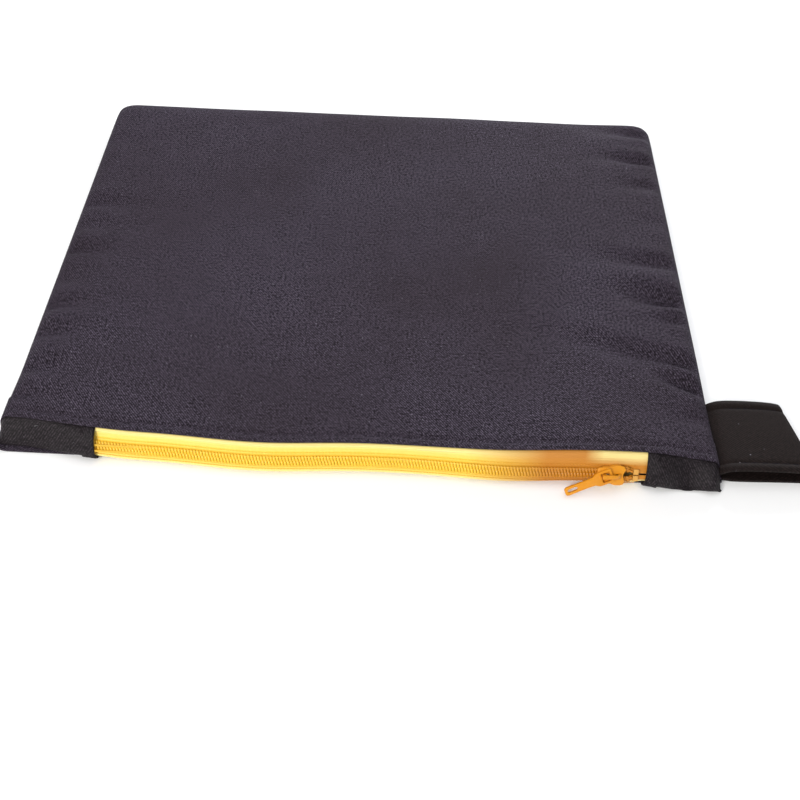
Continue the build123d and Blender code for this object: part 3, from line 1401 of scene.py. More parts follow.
@dataclass
class OuterPanels:
    """Front and back twill panels with their hems and the hem stitching."""

    form: PouchForm
    finish: Palette
    thickness: float = 0.4
    hem_turn: float = 0.45
    hem_depth: float = 8.0
    cut_width: float = 246.0
    cut_length: float = 196.0

    def __post_init__(self) -> None:
        """Work out the panels' length from the far seam to the mouth's fold."""
        self.run = self.form.far_y - self.form.lip(0).y - self.hem_turn
        self.turned = self.run + math.pi * self.hem_turn
        self.full = self.turned + self.hem_depth

    def front_place(self, u: float, s: float) -> Vector:
        """Shape the front panel.

        Args:
            u: place across, from -1 to 1.
            s: distance from the far seam, past the mouth's fold to the hem's end.

        Returns:
            The point on its outer face.
        """
        form = self.form
        near_x = u * form.half_width
        turn_y = form.lip(near_x).y + self.hem_turn
        if s <= self.run:
            y = mix(form.far_y, turn_y, s / self.run)
            x = u * form.half_width_at(y, u > 0)
            return form.lay(x, y, form.stitched_top(x, y))
        level = form.stitched_top(near_x, turn_y) - self.hem_turn
        angle = (s - self.run) / self.hem_turn
        if angle <= math.pi:
            y = turn_y - self.hem_turn * math.sin(angle)
            return form.lay(near_x, y, level + self.hem_turn * math.cos(angle))
        back = s - self.turned
        return form.lay(near_x, turn_y + back, level - self.hem_turn - 0.02 * back)

    def back_place(self, u: float, s: float) -> Vector:
        """Shape the back panel: flat on the ground, curled up to the seams and hemmed.

        Args:
            u: place across, from -1 to 1.
            s: distance from the far seam, past the mouth's fold to the hem's end.

        Returns:
            The point on its outer face.
        """
        form = self.form
        fold = form.chain.y + 0.4
        y = mix(form.far_y, fold, clamp(s / self.run))
        half = form.half_width_at(y, u > 0)
        x = u * half
        side = 1 - roll(half - abs(x), 3.2, 2.0)
        far = 1 - roll(form.far_y - y, 3.2, 2.0)
        z = form.seam_z * max(side, far)
        if s <= self.run:
            return form.lay(x, y, z)
        angle = (s - self.run) / self.hem_turn
        level = z + self.hem_turn
        if angle <= math.pi:
            y = fold - self.hem_turn * math.sin(angle)
            return form.lay(x, y, level - self.hem_turn * math.cos(angle))
        return form.lay(x, fold + s - self.turned, level + self.hem_turn)

    def panel(self, node: str, place: Place, columns: int, rows: int, out: float) -> bpy.types.Object:
        """Sew one panel.

        Args:
            node: the CAD node it stands for.
            place: its shape.
            columns: steps across.
            rows: steps along, without the hem.
            out: 1 if its outer face looks up, -1 if down.

        Returns:
            The panel.
        """
        along = joined(
            dense_ends(0, self.run - 9, rows),
            even(self.run - 9, self.run, 20),
            even(self.run, self.turned, 6),
            even(self.turned, self.full, 4),
        )
        bm = woven_grid(dense_ends(-1, 1, columns), along, place, measured=True)
        face_up(bm, Vector((0, 0, out)))
        piece = to_object(bm, f"{node}_cloth", self.finish.panel, Body.POUCH, [node])
        thicken(piece, self.thickness, -1)
        return piece

    def front_stitches(self) -> bpy.types.Object:
        """Sew the row of stitches behind the mouth's hem.

        Returns:
            The row.
        """
        form = self.form
        reach = form.half_width - 3

        def line(share: float) -> tuple[Vector, Vector]:
            """Point on the row and the way out of the cloth.

            Args:
                share: share of the way along the row.

            Returns:
                The point and the direction.
            """
            x = mix(-reach, reach, share)
            y = form.lip(x).y + form.stitch_setback
            return form.lay(x, y, form.stitched_top(x, y)), Vector((0, 0, 1))

        bm = bmesh.new()
        count = round(2 * reach / form.stitch_pitch)
        running_stitch(bm, line, count, (0.17, 0.14), 0.25)
        name, node = "hem_stitches", "front_topstitching"
        return to_object(bm, name, self.finish.thread, Body.POUCH, [node])

    def back_stitches(self) -> bpy.types.Object:
        """Sew the row of stitches that holds the back panel's hem.

        Returns:
            The row.
        """
        low, high = box_mm("back_topstitching")
        middle = (low + high) / 2

        def line(share: float) -> tuple[Vector, Vector]:
            """Point on the row and the way out of the cloth."""
            return Vector((mix(low.x, high.x, share), middle.y, 0.02)), Vector((0, 0, 1))

        bm = bmesh.new()
        count = round((high.x - low.x) / self.form.stitch_pitch)
        running_stitch(bm, line, count, (0.16, 0.1), 0.0)
        name, node = "back_hem_stitches", "back_topstitching"
        return to_object(bm, name, self.finish.thread, Body.POUCH, [node])

    def build(self) -> list[bpy.types.Object]:
        """Make every piece of the outer pouch.

        Returns:
            The pieces.
        """
        front = self.panel("front_panel", self.front_place, 170, 112, 1)
        back = self.panel("back_panel", self.back_place, 90, 52, -1)
        return [front, back, self.front_stitches(), self.back_stitches()]


@dataclass
class LiningBag:
    """The two halves of the fire-resistant lining."""

    form: PouchForm
    finish: Palette
    inset: float = 9.0
    below_top: float = 2.3
    floor_z: float = 1.55
    seam_z: float = 3.2
    thickness: float = 0.35
    cut_width: float = 222.0
    cut_length: float = 184.0

    def half(self, upper: bool) -> bpy.types.Object:
        """Sew one half.

        Args:
            upper: True for the half that hangs from the top, False for the one on the back.

        Returns:
            The half.
        """
        form = self.form
        half_width = form.half_width - self.inset
        far_y = form.far_y - self.inset
        near_y = form.lip(0).y + (2.4 if upper else 0.6)

        def place(x: float, y: float) -> Vector:
            """Point on the lining.

            Args:
                x: across the pouch.
                y: along it.

            Returns:
                The point.
            """
            side = roll(half_width - abs(x), 5.0)
            far = roll(far_y - y, 5.0)
            level = form.top(x * 0.98, y) - self.below_top if upper else self.floor_z
            return form.lay(x, y, mix(self.seam_z, level, side * far))

        columns, rows = dense_ends(-half_width, half_width, 60), dense_ends(near_y, far_y, 48)
        bm = woven_grid(columns, rows, place)
        face_up(bm, Vector((0, 0, 1 if upper else -1)))
        node = "front_lining" if upper else "back_lining"
        piece = to_object(bm, f"{node}_cloth", self.finish.lining, Body.POUCH, [node])
        thicken(piece, self.thickness, -1)
        return piece

    def build(self) -> list[bpy.types.Object]:
        """Make both halves."""
        return [self.half(True), self.half(False)]


# ---------------------------------------------------------------- the zip


@dataclass
class ZipChain:
    """Tapes, coils, their sewing, filler cords and stops.

    Attributes:
        tape_edge: from the chain's middle to each tape's edge.
        tape_thickness: thickness of the tapes.
        tape_end: how far the tapes run on under the tabs.
        tape_tuck: how much deeper the lower tape lies under the tabs.
        tuck_run: distance over which it sinks, each side of a tab's edge.
        coil_middle: from the chain's middle to a coil's middle.
        coil_reach: half width of a coil.
        coil_wire: half thickness of the wire.
        coil_wire_along: half width of the flattened wire.
        coil_rise: height of a coil's middle above the tape.
        coil_flat: half height of a coil's middle line.
        coil_pitch: distance between turns.
        steps_per_turn: steps along the wire in a turn.
        sewing_rows: each row's distance from the chain, height and share of the parting.
        parted: how far each coil moves aside in the slider.
        opened_share: not used.
        cut_width: width of a tape before it is sewn in.
        slider_x: where along the zip the slider stands.
    """

    form: PouchForm
    finish: Palette
    tape_edge: float = 0.32
    tape_thickness: float = 0.45
    tape_end: float = 9.5
    tape_tuck: float = 0.8
    tuck_run: float = 2.5
    coil_middle: float = 0.74
    coil_reach: float = 0.84
    coil_wire: float = 0.24
    coil_wire_along: float = 0.49
    coil_rise: float = 0.36
    coil_flat: float = 0.20
    coil_pitch: float = 1.0
    steps_per_turn: int = 10
    sewing_rows: tuple[tuple[float, float, float], ...] = ((1.38, 0.64, 1.0), (2.7, 0.02, 0.4))
    parted: float = 0.95
    opened_share: float = 0.70
    cut_width: float = 12.5
    slider_x: float = 78.5

    def shift(self, x: float) -> float:
        """How far each coil moves aside where the slider's diamond parts the chain.

        Args:
            x: place along the zip.

        Returns:
            The distance.
        """
        start = smoothstep(self.slider_x - 0.9, self.slider_x + 1.4, x)
        end = smoothstep(self.form.opening - 0.5, self.slider_x + 5.0, x)
        return self.parted * start * end

    def tape_path(self, upper: bool, x: float) -> list[tuple[float, float]]:
        """Middle line of a tape in the pouch's YZ plane, from the chain to its hidden edge.

        Args:
            upper: True for the front panel's tape.
            x: place along the zip.

        Returns:
            The line's points.
        """
        form = self.form
        half = self.tape_thickness / 2
        edge = self.tape_edge + self.shift(x)
        if upper:
            lip = form.lip(x)
            inner = [form.band(x, v, -half) for v in (edge, 2.4, form.lip_v - 1.6)]
            points = [(p.y, p.z) for p in inner]
            under = lip.z - 1.35
            points += [(lip.y - 0.30, under - 0.55), (lip.y + 0.7, under)]
            points += [(lip.y + 3.4, under + 0.02), (lip.y + 6.8, under + 0.02)]
            return points
        foot = form.foot(x)
        past = smoothstep(form.opening - self.tuck_run, form.opening + self.tuck_run, abs(x))
        tuck = self.tape_tuck * past
        inner = [form.band(x, v, -half) for v in (-edge, -1.5)]
        points = [(p.y, p.z) for p in inner] + [(foot.y + 0.28 + tuck, foot.z + 0.38)]
        points += [(foot.y + 0.12 + tuck, foot.z - 0.12), (foot.y + 0.55 + tuck, foot.z - 0.62)]
        points += [(form.chain.y + 1.0, 1.2), (form.chain.y + 4.0, 1.12), (form.chain.y + 7.5, 1.12)]
        return points

    def tape(self, upper: bool) -> bpy.types.Object:
        """Weave one tape along its path.

        Args:
            upper: True for the front panel's tape.

        Returns:
            The tape.
        """
        form = self.form
        half_length = form.opening + self.tape_end
        name = "zip_tape_upper" if upper else "zip_tape_lower"

        def place(x: float, s: float) -> Vector:
            """Point on the tape's middle surface."""
            point = smooth_path(self.tape_path(upper, x), s / self.cut_width)
            return Vector((x, point.x, point.y))

        columns = even(-half_length, half_length, 150)
        bm = woven_grid(columns, even(0, self.cut_width, 30), place)
        face_up(bm, Vector((0, -1, 0.7)) if upper else Vector((0, -1, -0.2)))
        piece = to_object(bm, f"{name}_weave", self.finish.tape, Body.POUCH, [name])
        thicken(piece, self.tape_thickness, 0)
        self.open_with_slider(piece, upper)
        return piece

    def open_with_slider(self, piece: bpy.types.Object, upper: bool) -> None:
        """Give a piece of one side of the chain its own mesh.

        Args:
            piece: the piece.
            upper: not used.
        """
        form = self.form
        tuple(form.up)
        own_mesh(piece)

    def coil(self, upper: bool) -> bpy.types.Object:
        """Wind one coil, flattened and laid along its tape.

        Args:
            upper: True for the front panel's coil.

        Returns:
            The coil.
        """
        form = self.form
        sign = 1 if upper else -1
        start = -form.opening + (0.35 if upper else 0.35 + self.coil_pitch / 2)
        turns = int((2 * form.opening - 2.8) / self.coil_pitch)

        def place(angle: float, turn: float) -> Vector:
            """Shape the wire.

            Args:
                angle: angle round the wire.
                turn: number of turns along.

            Returns:
                The point.
            """
            wound = 2 * math.pi * turn
            x = start + self.coil_pitch * turn
            radius = self.coil_reach + self.coil_wire * math.cos(angle)
            v = sign * (self.coil_middle + self.shift(x)) + radius * math.cos(wound)
            flat = self.coil_flat + self.coil_wire * math.cos(angle)
            n = self.coil_rise + flat * math.sin(wound)
            return form.band(x + self.coil_wire_along * math.sin(angle), v, n)

        rows = even(0, turns, turns * self.steps_per_turn)
        bm = woven_grid(even(0, 2 * math.pi, 6), rows, place)
        bmesh.ops.remove_doubles(bm, verts=bm.verts, dist=0.0005)
        bmesh.ops.recalc_face_normals(bm, faces=bm.faces)
        side = "upper" if upper else "lower"
        name, node = f"coil_{side}", f"zip_coil_{side}"
        piece = to_object(bm, name, self.finish.coil, Body.POUCH, [node])
        self.open_with_slider(piece, upper)
        return piece

    def sewing(self, upper: bool) -> bpy.types.Object:
        """Rows of thread over a coil and along its tape.

        Args:
            upper: True for the front panel's coil.

        Returns:
            The rows.
        """
        form = self.form
        sign = 1 if upper else -1
        bm = bmesh.new()
        count = int((2 * form.opening - 2) / self.coil_pitch)
        for row, height, follow in self.sewing_rows:

            def line(share: float) -> tuple[Vector, Vector]:
                """Point on the row and the way out of the band.

                Args:
                    share: share of the way along the row.

                Returns:
                    The point and the direction.
                """
                x = mix(-form.opening + 1, form.opening - 1, share)
                v = sign * (row + self.shift(x) * follow)
                return form.band(x, v, height), form.out

            running_stitch(bm, line, count, (0.14, 0.12), 0.12)
        side = "upper" if upper else "lower"
        piece = to_object(bm, f"coil_sewing_{side}", self.finish.zip_thread, Body.POUCH)
        self.open_with_slider(piece, upper)
        return piece

    def build(self) -> list[bpy.types.Object]:
        """Make every moving or sewn piece of the zip and dress its CAD pieces.

        Returns:
            The pieces.
        """
        makers = (self.tape, self.coil, self.sewing)
        pieces = [make(upper) for make in makers for upper in (True, False)]
        dress("coil_cord_upper", self.finish.cord)
        dress("coil_cord_lower", self.finish.cord)
        dress("top_stops", self.finish.stop)
        return pieces


def dress(node: str, material: bpy.types.Material) -> None:
    """Give a carried-over CAD node its finish."""
    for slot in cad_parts[node].material_slots:
        slot.material = material


@dataclass
class Slider:
    """The cast slider with its bridge, and the pull that hangs on it."""

    form: PouchForm
    finish: Palette
    x: float = 78.5
    length: float = 9.0
    rear: float = 2.6
    front: float = 3.3
    wall: float = 0.55
    plate_low: float = 1.45
    plate_high: float = 2.1
    under_low: float = -1.4
    under_high: float = -0.75
    pull_yaw: float = math.radians(24)
    pull_length: float = 15.5
    pull_thickness: float = 0.85
    eye_half_width: float = 1.6
    eye_length: float = 2.8
    side_bar: float = 0.7
    tip_half_width: float = 1.4
    eye_setback: float = 0.4
    hang_point: tuple[float, float, float] = (-0.13, 0.46, 2.7)
    diamond: tuple[tuple[float, float], ...] = ((1.1, 0.0), (1.7, 0.5), (2.1, 0.6), (3.7, 0.6))

    def outline(self, margin: float, steps: int = 6) -> list[tuple[float, float]]:
        """The plates' outline: narrow tail, rounded shoulders and a notched front.

        Args:
            margin: how far inside the full outline it runs.
            steps: steps in each shoulder.

        Returns:
            The outline's points.
        """
        rear, front, nose = self.rear - margin, self.front - margin, self.length / 2 - margin
        upper = [(-nose, rear * 0.72), (-nose + 0.5, rear * 0.96), (-nose + 1.6, rear)]
        for k in range(steps + 1):
            x = mix(-1.0, 1.5, k / steps)
            upper.append((x, mix(rear, front, smoothstep(-1.0, 1.5, x))))
        upper += [(nose - 1.5, front), (nose - 0.5, front * 0.90), (nose, front * 0.62), (nose - 0.7, 0.35)]
        return upper + [(x, -y) for x, y in reversed(upper)]

    def flange(self, side: int) -> bmesh.types.BMesh:
        """Side wall that keeps a coil in its channel.

        Args:
            side: 1 or -1 across the zip.

        Returns:
            The wall.
        """
        outer, inner = self.outline(0), self.outline(self.wall)
        count = len(outer) // 2
        keep = range(2, count - 3)
        edge = [outer[k] for k in keep] + [inner[k] for k in reversed(keep)]
        edge = [(x, side * y) for x, y in edge]
        return slab(edge, 0.25, self.plate_low + 0.1)

    def body(self) -> bpy.types.Object:
        """Cast the slider's two plates, flanges and diamond.

        Returns:
            The casting.
        """
        bm = slab(self.outline(0), self.plate_low, self.plate_high)
        merge(bm, slab(self.outline(0.15), self.under_low, self.under_high))
        merge(bm, self.flange(1))
        merge(bm, self.flange(-1))
        diamond = list(self.diamond) + [(x, -y) for x, y in reversed(self.diamond[1:])]
        merge(bm, slab(diamond, self.under_high - 0.1, self.plate_low + 0.1))
        self.seat(bm)
        piece = to_object(
            bm, "slider_casting", self.finish.paint, Body.SLIDER, ["slider_body"]
        )
        bevelled(piece, 0.16)
        return piece

    def seat(self, bm: bmesh.types.BMesh) -> None:
        """Move a mesh drawn flat at the slider's middle to its place on the band.

        Args:
            bm: the mesh.
        """
        form = self.form
        for vert in bm.verts:
            vert.co = form.band(self.x + vert.co.x, vert.co.y, vert.co.z)

    def crown(self) -> bpy.types.Object:
        """Cast the bridge: a horn at its tail and a long slope to the front.

        Returns:
            The bridge.
        """
        low, roof = self.plate_high - 0.1, 3.5
        side = [
            (-2.6, low),
            (-2.95, 3.3),
            (-3.25, 4.55),
            (-2.3, 4.35),
            (-0.6, 4.15),
            (1.0, 4.0),
            (2.1, 3.5),
            (3.0, 2.7),
            (3.3, low),
            (1.9, low),
            (1.9, roof - 0.5),
            (1.5, roof),
            (-1.5, roof),
            (-1.9, roof - 0.4),
            (-1.9, low),
        ]
        bm = slab(side, -0.8, 0.8)
        for vert in bm.verts:
            x, z, y = vert.co
            taper = 1 - 0.35 * smoothstep(3.2, 4.6, z)
            vert.co = Vector((x, y * taper, z))
        bmesh.ops.recalc_face_normals(bm, faces=bm.faces)
        self.seat(bm)
        piece = to_object(
            bm, "slider_bridge", self.finish.paint, Body.SLIDER, ["slider_crown"]
        )
        bevelled(piece, 0.2)
        return piece

    def pull_outline(self) -> list[tuple[float, float]]:
        """Half outline of the pull from its eye to its rounded tip, mirrored.

        Returns:
            The outline's points.
        """
        eye = self.eye_half_width + self.side_bar
        neck = -self.eye_length - 0.4
        tip = self.tip_half_width
        upper = [(0.36, eye - 0.25), (0.1, eye), (neck - 0.4, eye), (neck - 1.4, eye * 0.94)]
        upper += [(neck - 2.6, tip * 1.02), (neck - 5.0, tip * 0.92)]
        for k in range(5):
            angle = math.pi / 2 * k / 4
            x = -self.pull_length + 1.1 * (1 - math.sin(angle))
            upper.append((x, tip * (0.45 + 0.55 * math.cos(angle))))
        return upper + [(x, -y) for x, y in reversed(upper)]

    @staticmethod
    def capsule(x0: float, x1: float, half: float, height: float) -> bmesh.types.BMesh:
        """A round-ended slot shape for cutting.

        Args:
            x0: one end.
            x1: the other end.
            half: half width.
            height: half height.

        Returns:
            The shape.
        """
        steps = 8
        arc = [math.pi / 2 + math.pi * k / steps for k in range(steps + 1)]
        left = [(x0 + half + half * math.cos(a), half * math.sin(a)) for a in arc]
        right = [(x1 - half - half * math.cos(a), -half * math.sin(a)) for a in arc]
        return slab(left + right, -height, height)

    @staticmethod
    def loose(bm: bmesh.types.BMesh, name: str) -> bpy.types.Object:
        """Turn a mesh into a cutter in the same units as a finished piece.

        Args:
            bm: the mesh, which is freed.
            name: the cutter's name.

        Returns:
            The cutter.
        """
        bmesh.ops.scale(bm, vec=(MM, MM, MM), verts=bm.verts)
        mesh = bpy.data.meshes.new(name)
        bm.to_mesh(mesh)
        bm.free()
        cutter = bpy.data.objects.new(name, mesh)
        bpy.context.scene.collection.objects.link(cutter)
        return cutter

    def hang(self, bm: bmesh.types.BMesh) -> None:
        """Turn a mesh drawn along the pull to its place under the bridge.

        Args:
            bm: the mesh.
        """
        turn = Matrix.Rotation(self.pull_yaw, 3, "Z")
        bmesh.ops.rotate(bm, cent=(0, 0, 0), matrix=turn, verts=bm.verts)
        bmesh.ops.translate(bm, vec=self.hang_point, verts=bm.verts)
        self.seat(bm)

    def pull(self) -> bpy.types.Object:
        """Stamp the pull with its eye and the slot at its tip.

        Returns:
            The pull.
        """
        half = self.pull_thickness / 2
        bm = slab(self.pull_outline(), -half, half)
        near, far = -self.eye_setback, -self.eye_setback - self.eye_length
        wide = self.eye_half_width
        eye_cut = slab([(far, -wide), (near, -wide), (near, wide), (far, wide)], -2, 2)
        slot_cut = self.capsule(-self.pull_length + 0.9, -self.pull_length + 4.2, 0.62, 2)
        for part in (bm, eye_cut, slot_cut):
            self.hang(part)
        piece = to_object(bm, "pull_stamping", self.finish.paint, Body.PULL, ["pull_tab"])
        cut(piece, self.loose(eye_cut, "eye_cut"))
        cut(piece, self.loose(slot_cut, "slot_cut"))
        bevelled(piece, 0.16)
        return piece

    def build(self) -> list[bpy.types.Object]:
        """Make the slider's pieces and dress its spring."""
        dress("lock_spring", self.finish.steel)
        return [self.body(), self.crown(), self.pull()]


# ---------------------------------------------------------------- tabs and loop


@dataclass(frozen=True)
class TabShape:
    """What differs between the two tabs.

    Attributes:
        side: the end of the zip that it covers.
        past_opening: how far its folded edge lies past the CAD edge of the zip's opening.
        swells: its cloth's swells between that edge, at 0, and the side seam, at 1.
    """

    side: Side
    past_opening: float
    swells: tuple[Bulge, ...]


TABS = (
    TabShape(Side.LOW, -3.7, (Bulge(1.5, 0.06, 0.26), Bulge(-0.7, 0.62, 0.13), Bulge(0.4, 0.85, 0.10))),
    TabShape(Side.HIGH, 2.1, (Bulge(2.0, 0.20, 0.17), Bulge(-1.7, 0.58, 0.14), Bulge(1.6, 0.87, 0.09))),
)


@dataclass
class EndTab:
    """Folded twill tab over one end of the zip, out to the side seam.

    Attributes:
        form: the pouch's form.
        finish: the finishes.
        shape: which tab it is and how its cloth swells.
        thickness: thickness of its two plies.
        edge: radius of the folded edge.
        yielding: not used.
        tucked: how far the inner ply reaches behind the folded edge.
        depth: length of its cloth round the mouth, which is its weave's measure.
        cut_length: length of its cloth along the zip, laid flat.
        cut_width: width of its cloth, laid flat.
    """

    form: PouchForm
    finish: Palette
    shape: TabShape
    thickness: float = 0.7
    edge: float = 0.45
    yielding: float = 0.87
    tucked: float = 4.0
    depth: float = 17.0
    cut_length: float = 34.0
    cut_width: float = 18.0

    def __post_init__(self) -> None:
        """Work out where the folded edge lies."""
        self.side = self.shape.side
        self.fold_x = self.form.opening + self.shape.past_opening

    def profile(self, x: float) -> list[tuple[float, float]]:
        """The tab's YZ line: under the hem, down the band and under it.

        Args:
            x: place along the zip.

        Returns:
            The line's points.
        """
        form = self.form
        lip, foot = form.lip(x), form.foot(x)
        inward = form.half_width - abs(x)
        end = roll(inward, 3.2)
        top = mix(form.seam_z, lip.z, end) - 0.85
        out = mix(0.35, 1.0, end)
        high = Vector((lip.y - 0.35, top - 0.35))
        low = Vector((foot.y - 0.55, min(foot.z, top - 0.4)))
        across, swell = low - high, Vector((-0.82, 0.57)) * 0.55 * out
        upper = high + across * 0.33 + swell
        lower = high + across * 0.70 + swell
        return [
            (lip.y + 3.6, top + 0.10),
            (lip.y + 1.0, top + 0.05),
            tuple(high),
            tuple(upper),
            tuple(lower),
            tuple(low),
            (low.x + 0.75, max(low.y - 0.75, 0.75)),
            (form.chain.y + 3.2, 1.05),
        ]

    def crease(self, x: float, t: float) -> float:
        """Outward swell of the tab's cloth between its seams.

        Args:
            x: place along the zip.
            t: share of the way down its profile.

        Returns:
            The swell.
        """
        form = self.form
        along = (abs(x) - self.fold_x) / (form.half_width - self.fold_x)
        belly = math.sin(math.pi * clamp((t - 0.24) / 0.56))
        return sum(swell.at(along) for swell in self.shape.swells) * belly

    def place(self, s: float, t: float) -> Vector:
        """Shape the tab.

        Args:
            s: distance along the zip from the folded edge, less than 0 for the inner ply.
            t: share of the way down its profile.

        Returns:
            The point on its outer face.
        """
        form = self.form
        turned = math.pi * self.edge
        if s < 0:
            x, sunk = self.fold_x + self.edge - s * 0.9, 0.75
        elif s < turned:
            angle = s / self.edge
            x = self.fold_x + self.edge * (1 - math.sin(angle))
            sunk = 0.375 * (1 + math.cos(angle))
        else:
            x, sunk = self.fold_x + self.edge + s - turned, 0.0
        x = min(x, form.half_width) * self.side.value
        point = smooth_path(self.profile(x), t)
        swell = self.crease(x, t) - sunk
        outward = form.out * swell
        return form.lay(x, point.x + outward.y, max(point.y + outward.z, 0.6))

    def build(self) -> bpy.types.Object:
        """Sew the tab.

        Returns:
            The tab.
        """
        turned = math.pi * self.edge
        full = turned + self.form.half_width - self.fold_x - self.edge
        stations = joined(
            even(-self.tucked, 0, 3),
            even(0, turned, 7),
            even(turned, full - 4, 40),
            even(full - 4, full, 14),
        )
        bm = woven_grid(stations, even(0, 1, 44), self.place)
        stretch_weave(bm, Vector((1, self.depth)))
        face_up(bm, Vector((0, -1, 0.7)))
        name = "end_tab_right" if self.side is Side.HIGH else "end_tab_left"
        piece = to_object(bm, f"{name}_cloth", self.finish.tab, Body.POUCH, [name])
        thicken(piece, self.thickness, -1)
        if self.side is Side.LOW:
            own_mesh(piece)
        return piece


@dataclass
class HangingLoop:
    """Strap of folded twill, doubled back and sewn into the right side seam.

    Attributes:
        form: the pouch's form.
        finish: the finishes.
        thickness: thickness of a ply.
        skew: how far the tip slants for each millimetre across.
        blend_run: not used.
        stitch_margin: from the strap's edge to its stitches.
        stitch_dent: how deep the stitches are pressed in.
        edge_puff: how high the edge stands beside them.
        sag: how far the upper ply waves up and down.
        shift: how far up the seam it lies past its CAD place.
        tip_shift: how much further its tip lies.
        cut_length: length of its cloth, laid flat.
    """

    form: PouchForm
    finish: Palette
    thickness: float = 1.15
    skew: float = 0.25
    blend_run: float = 6.5
    stitch_margin: float = 3.0
    stitch_dent: float = 0.32
    edge_puff: float = 0.30
    sag: float = 0.35
    shift: float = 2.0
    tip_shift: float = 0.8
    cut_length: float = 72.0

    def __post_init__(self) -> None:
        """Take the strap's place from its CAD node."""
        low, high = box_mm("loop_strap")
        self.near_y, self.far_y = low.y, high.y
        self.tip_x, self.top_z = high.x, high.z
        self.root_x = self.form.half_width

    def profile(self) -> list[tuple[float, float]]:
        """The strap's XZ middle line from its lower end, round the fold, to its upper end.

        Returns:
            The line's points.
        """
        half = self.thickness / 2
        top = self.top_z - half - 0.1
        tip = self.tip_x - half
        root = self.root_x
        return [
            (root - 1.5, 1.5),
            (root + 1.5, 1.25),
            (root + 5.0, half + 0.12),
            (root + 10.5, half + 0.02),
            (root + 17.0, half + 0.05),
            (root + 23.5, half + 0.02),
            (tip - 3.2, half + 0.15),
            (tip - 0.7, half + 1.0),
            (tip - 0.05, 0.4 * (top + half)),
            (tip - 0.9, top - 1.9),
            (tip - 3.6, top - 1.1),
            (root + 23.0, top - 0.6),
            (root + 17.0, top - 0.25),
            (root + 11.0, top - 0.05),
            (root + 6.0, top - 0.15),
            (root + 2.6, top - 0.8),
            (root + 0.2, top - 2.4),
            (root - 1.5, 2.8),
        ]

    def place(self, y: float, t: float) -> Vector:
        """Shape the strap's middle surface, with pressed edges and a slanted fold.

        Args:
            y: place across the strap.
            t: share of the way along its profile.

        Returns:
            The point.
        """
        point = smooth_path(self.profile(), t)
        out = smoothstep(self.root_x + 2, self.tip_x, point.x)
        x = point.x - (self.skew * (y - self.near_y) - 1.0) * out
        sag = self.sag * math.sin((y - self.near_y) / 9.0 + 0.4) * smoothstep(3, 6, point.y) * out
        edge = min(y - self.near_y, self.far_y - y)
        upper = smoothstep(3.0, 5.0, point.y)
        dent = self.stitch_dent * bell(edge - self.stitch_margin, 0.6) * upper
        puff = self.edge_puff * bell(edge - 1.3, 1.0) * upper
        z = max(point.y + sag + puff - dent, self.thickness / 2)
        return Vector((x, y + self.shift + self.tip_shift * out, z))

    def strap(self) -> bpy.types.Object:
        """Sew the strap.

        Returns:
            The strap.
        """
        bm = woven_grid(dense_ends(self.near_y, self.far_y, 50), even(0, 1, 110), self.place)
        stretch_weave(bm, Vector((1, self.cut_length)))
        bm.normal_update()
        centre = Vector((self.root_x + 15, (self.near_y + self.far_y) / 2, 3.5))
        inward = [f for f in bm.faces if (f.calc_center_median() - centre).dot(f.normal) < 0]
        if len(inward) > len(bm.faces) / 2:
            bmesh.ops.reverse_faces(bm, faces=bm.faces)
        name = "strap_cloth"
        piece = to_object(bm, name, self.finish.strap, None, ["loop_strap"])
        thicken(piece, self.thickness, 0)
        bevelled(piece, 0.35, 3)
        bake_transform(piece)
        return piece

    def stitches(self) -> bpy.types.Object:
        """Sew the rows along both edges of the upper ply.

        Returns:
            The rows.
        """
        bm = bmesh.new()
        outward = Vector((0, 0, 1))
        lift = outward * (self.thickness / 2)
        for y in (self.near_y + self.stitch_margin, self.far_y - self.stitch_margin):

            def line(share: float) -> tuple[Vector, Vector]:
                """Point on the row and the way out of the cloth."""
                return self.place(y, mix(0.58, 0.82, share)) + lift, outward

            running_stitch(bm, line, 7, (0.17, 0.14), 0.2)
        name, node = "loop_stitches", "loop_stitching"
        return to_object(bm, name, self.finish.thread, Body.LOOP, [node])

    def build(self) -> list[bpy.types.Object]:
        """Make the loop's pieces."""
        return [self.strap(), self.stitches()]


# ---------------------------------------------------------------- the studio


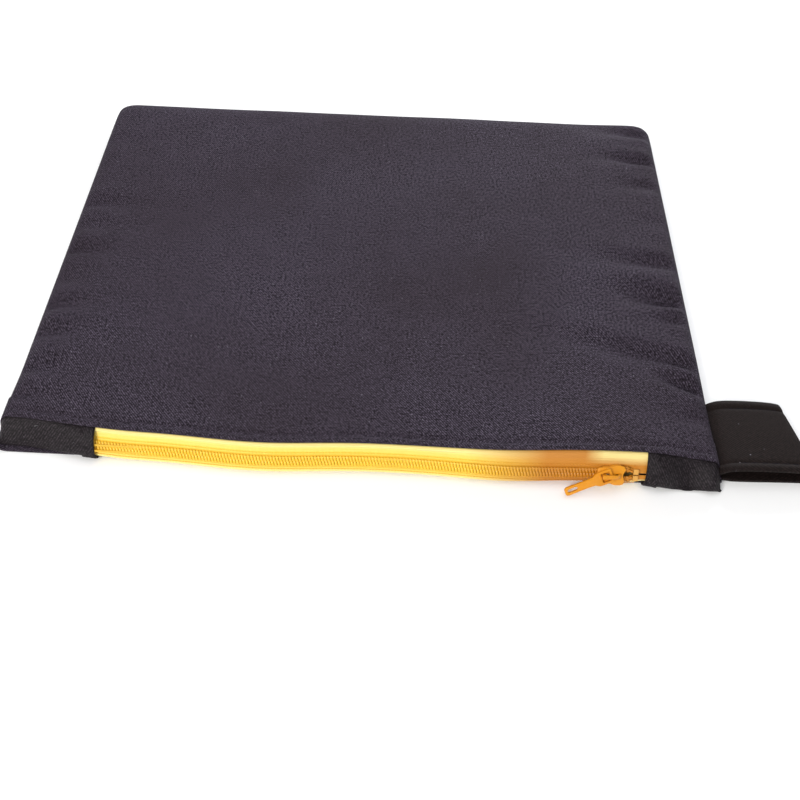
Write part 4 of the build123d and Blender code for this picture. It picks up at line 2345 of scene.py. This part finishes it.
@dataclass
class Studio:
    """Floor, lights and camera."""

    finish: Palette
    lens: float = 42.705
    eye: tuple[float, float, float] = (0.0032, -0.258768, 0.254978)
    forward: tuple[float, float, float] = (0.02407, 0.61295, -0.78975)
    above: tuple[float, float, float] = (-0.05146, 0.78969, 0.61134)

    def floor(self) -> None:
        """Lay the pale floor."""
        bm = bmesh.new()
        bmesh.ops.create_grid(bm, x_segments=8, y_segments=8, size=4.0)
        mesh = bpy.data.meshes.new("floor")
        bm.to_mesh(mesh)
        bm.free()
        mesh.materials.append(self.finish.floor)
        ground = bpy.data.objects.new("floor", mesh)
        bpy.context.scene.collection.objects.link(ground)

    def lamp(self, name: str, place: tuple, size: float, power: float, tint: tuple) -> None:
        """Hang one square soft light that faces the pouch.

        Args:
            name: the light's name.
            place: where it hangs, in metres.
            size: length of its side, in metres.
            power: its power in watts.
            tint: its colour.
        """
        data = bpy.data.lights.new(name, "AREA")
        data.size = size
        data.energy = power
        data.color = tint
        lamp = bpy.data.objects.new(name, data)
        lamp.location = place
        lamp.rotation_euler = (-Vector(place)).to_track_quat("-Z", "Y").to_euler()
        bpy.context.scene.collection.objects.link(lamp)

    def light(self) -> None:
        """Light the pouch softly from the front left and the back right."""
        world = bpy.data.worlds.new("studio")
        world.use_nodes = True
        world.node_tree.nodes["Background"].inputs[0].default_value = (0.97, 0.98, 1.0, 1)
        world.node_tree.nodes["Background"].inputs[1].default_value = 0.5
        bpy.context.scene.world = world
        self.lamp("key", (-0.60, -0.90, 0.75), 0.5, 12.0, (1.0, 0.98, 0.95))
        self.lamp("back", (0.35, 1.05, 0.42), 0.45, 14.0, (0.96, 0.97, 1.0))
        self.lamp("above", (0.0, 0.1, 1.4), 1.2, 5.0, (1.0, 1.0, 1.0))

    def camera(self) -> None:
        """Place the camera above and in front, looking down at the pouch."""
        data = bpy.data.cameras.new("camera")
        data.lens = self.lens
        data.sensor_width = 36.0
        data.clip_start = 0.01
        camera = bpy.data.objects.new("camera", data)
        back = -Vector(self.forward).normalized()
        above = Vector(self.above)
        right = above.cross(back).normalized()
        above = back.cross(right)
        turn = Matrix((right, above, back)).transposed().to_4x4()
        camera.matrix_world = Matrix.Translation(Vector(self.eye)) @ turn
        bpy.context.scene.collection.objects.link(camera)
        bpy.context.scene.camera = camera

    def build(self) -> None:
        """Set up the whole studio."""
        self.floor()
        self.light()
        self.camera()
        bpy.context.scene.view_settings.view_transform = "Standard"


def main() -> None:
    """Build the studio and every piece of the pouch, and note the sizes."""
    logging.basicConfig(level=logging.INFO, format="%(name)s: %(message)s")
    finish = Palette()
    Studio(finish).build()
    form = PouchForm.from_frame()
    pieces = OuterPanels(form, finish).build()
    pieces += LiningBag(form, finish).build()
    pieces += ZipChain(form, finish).build()
    pieces += Slider(form, finish).build()
    pieces += [EndTab(form, finish, shape).build() for shape in TABS]
    pieces += HangingLoop(form, finish).build()
    for node in ("left_seam_thread", "right_seam_thread", "far_seam_thread"):
        dress(node, finish.thread)
    for piece in pieces:
        log.info("%s: %d faces", piece.name, len(piece.data.polygons))


if __name__ == "__main__":
    main()
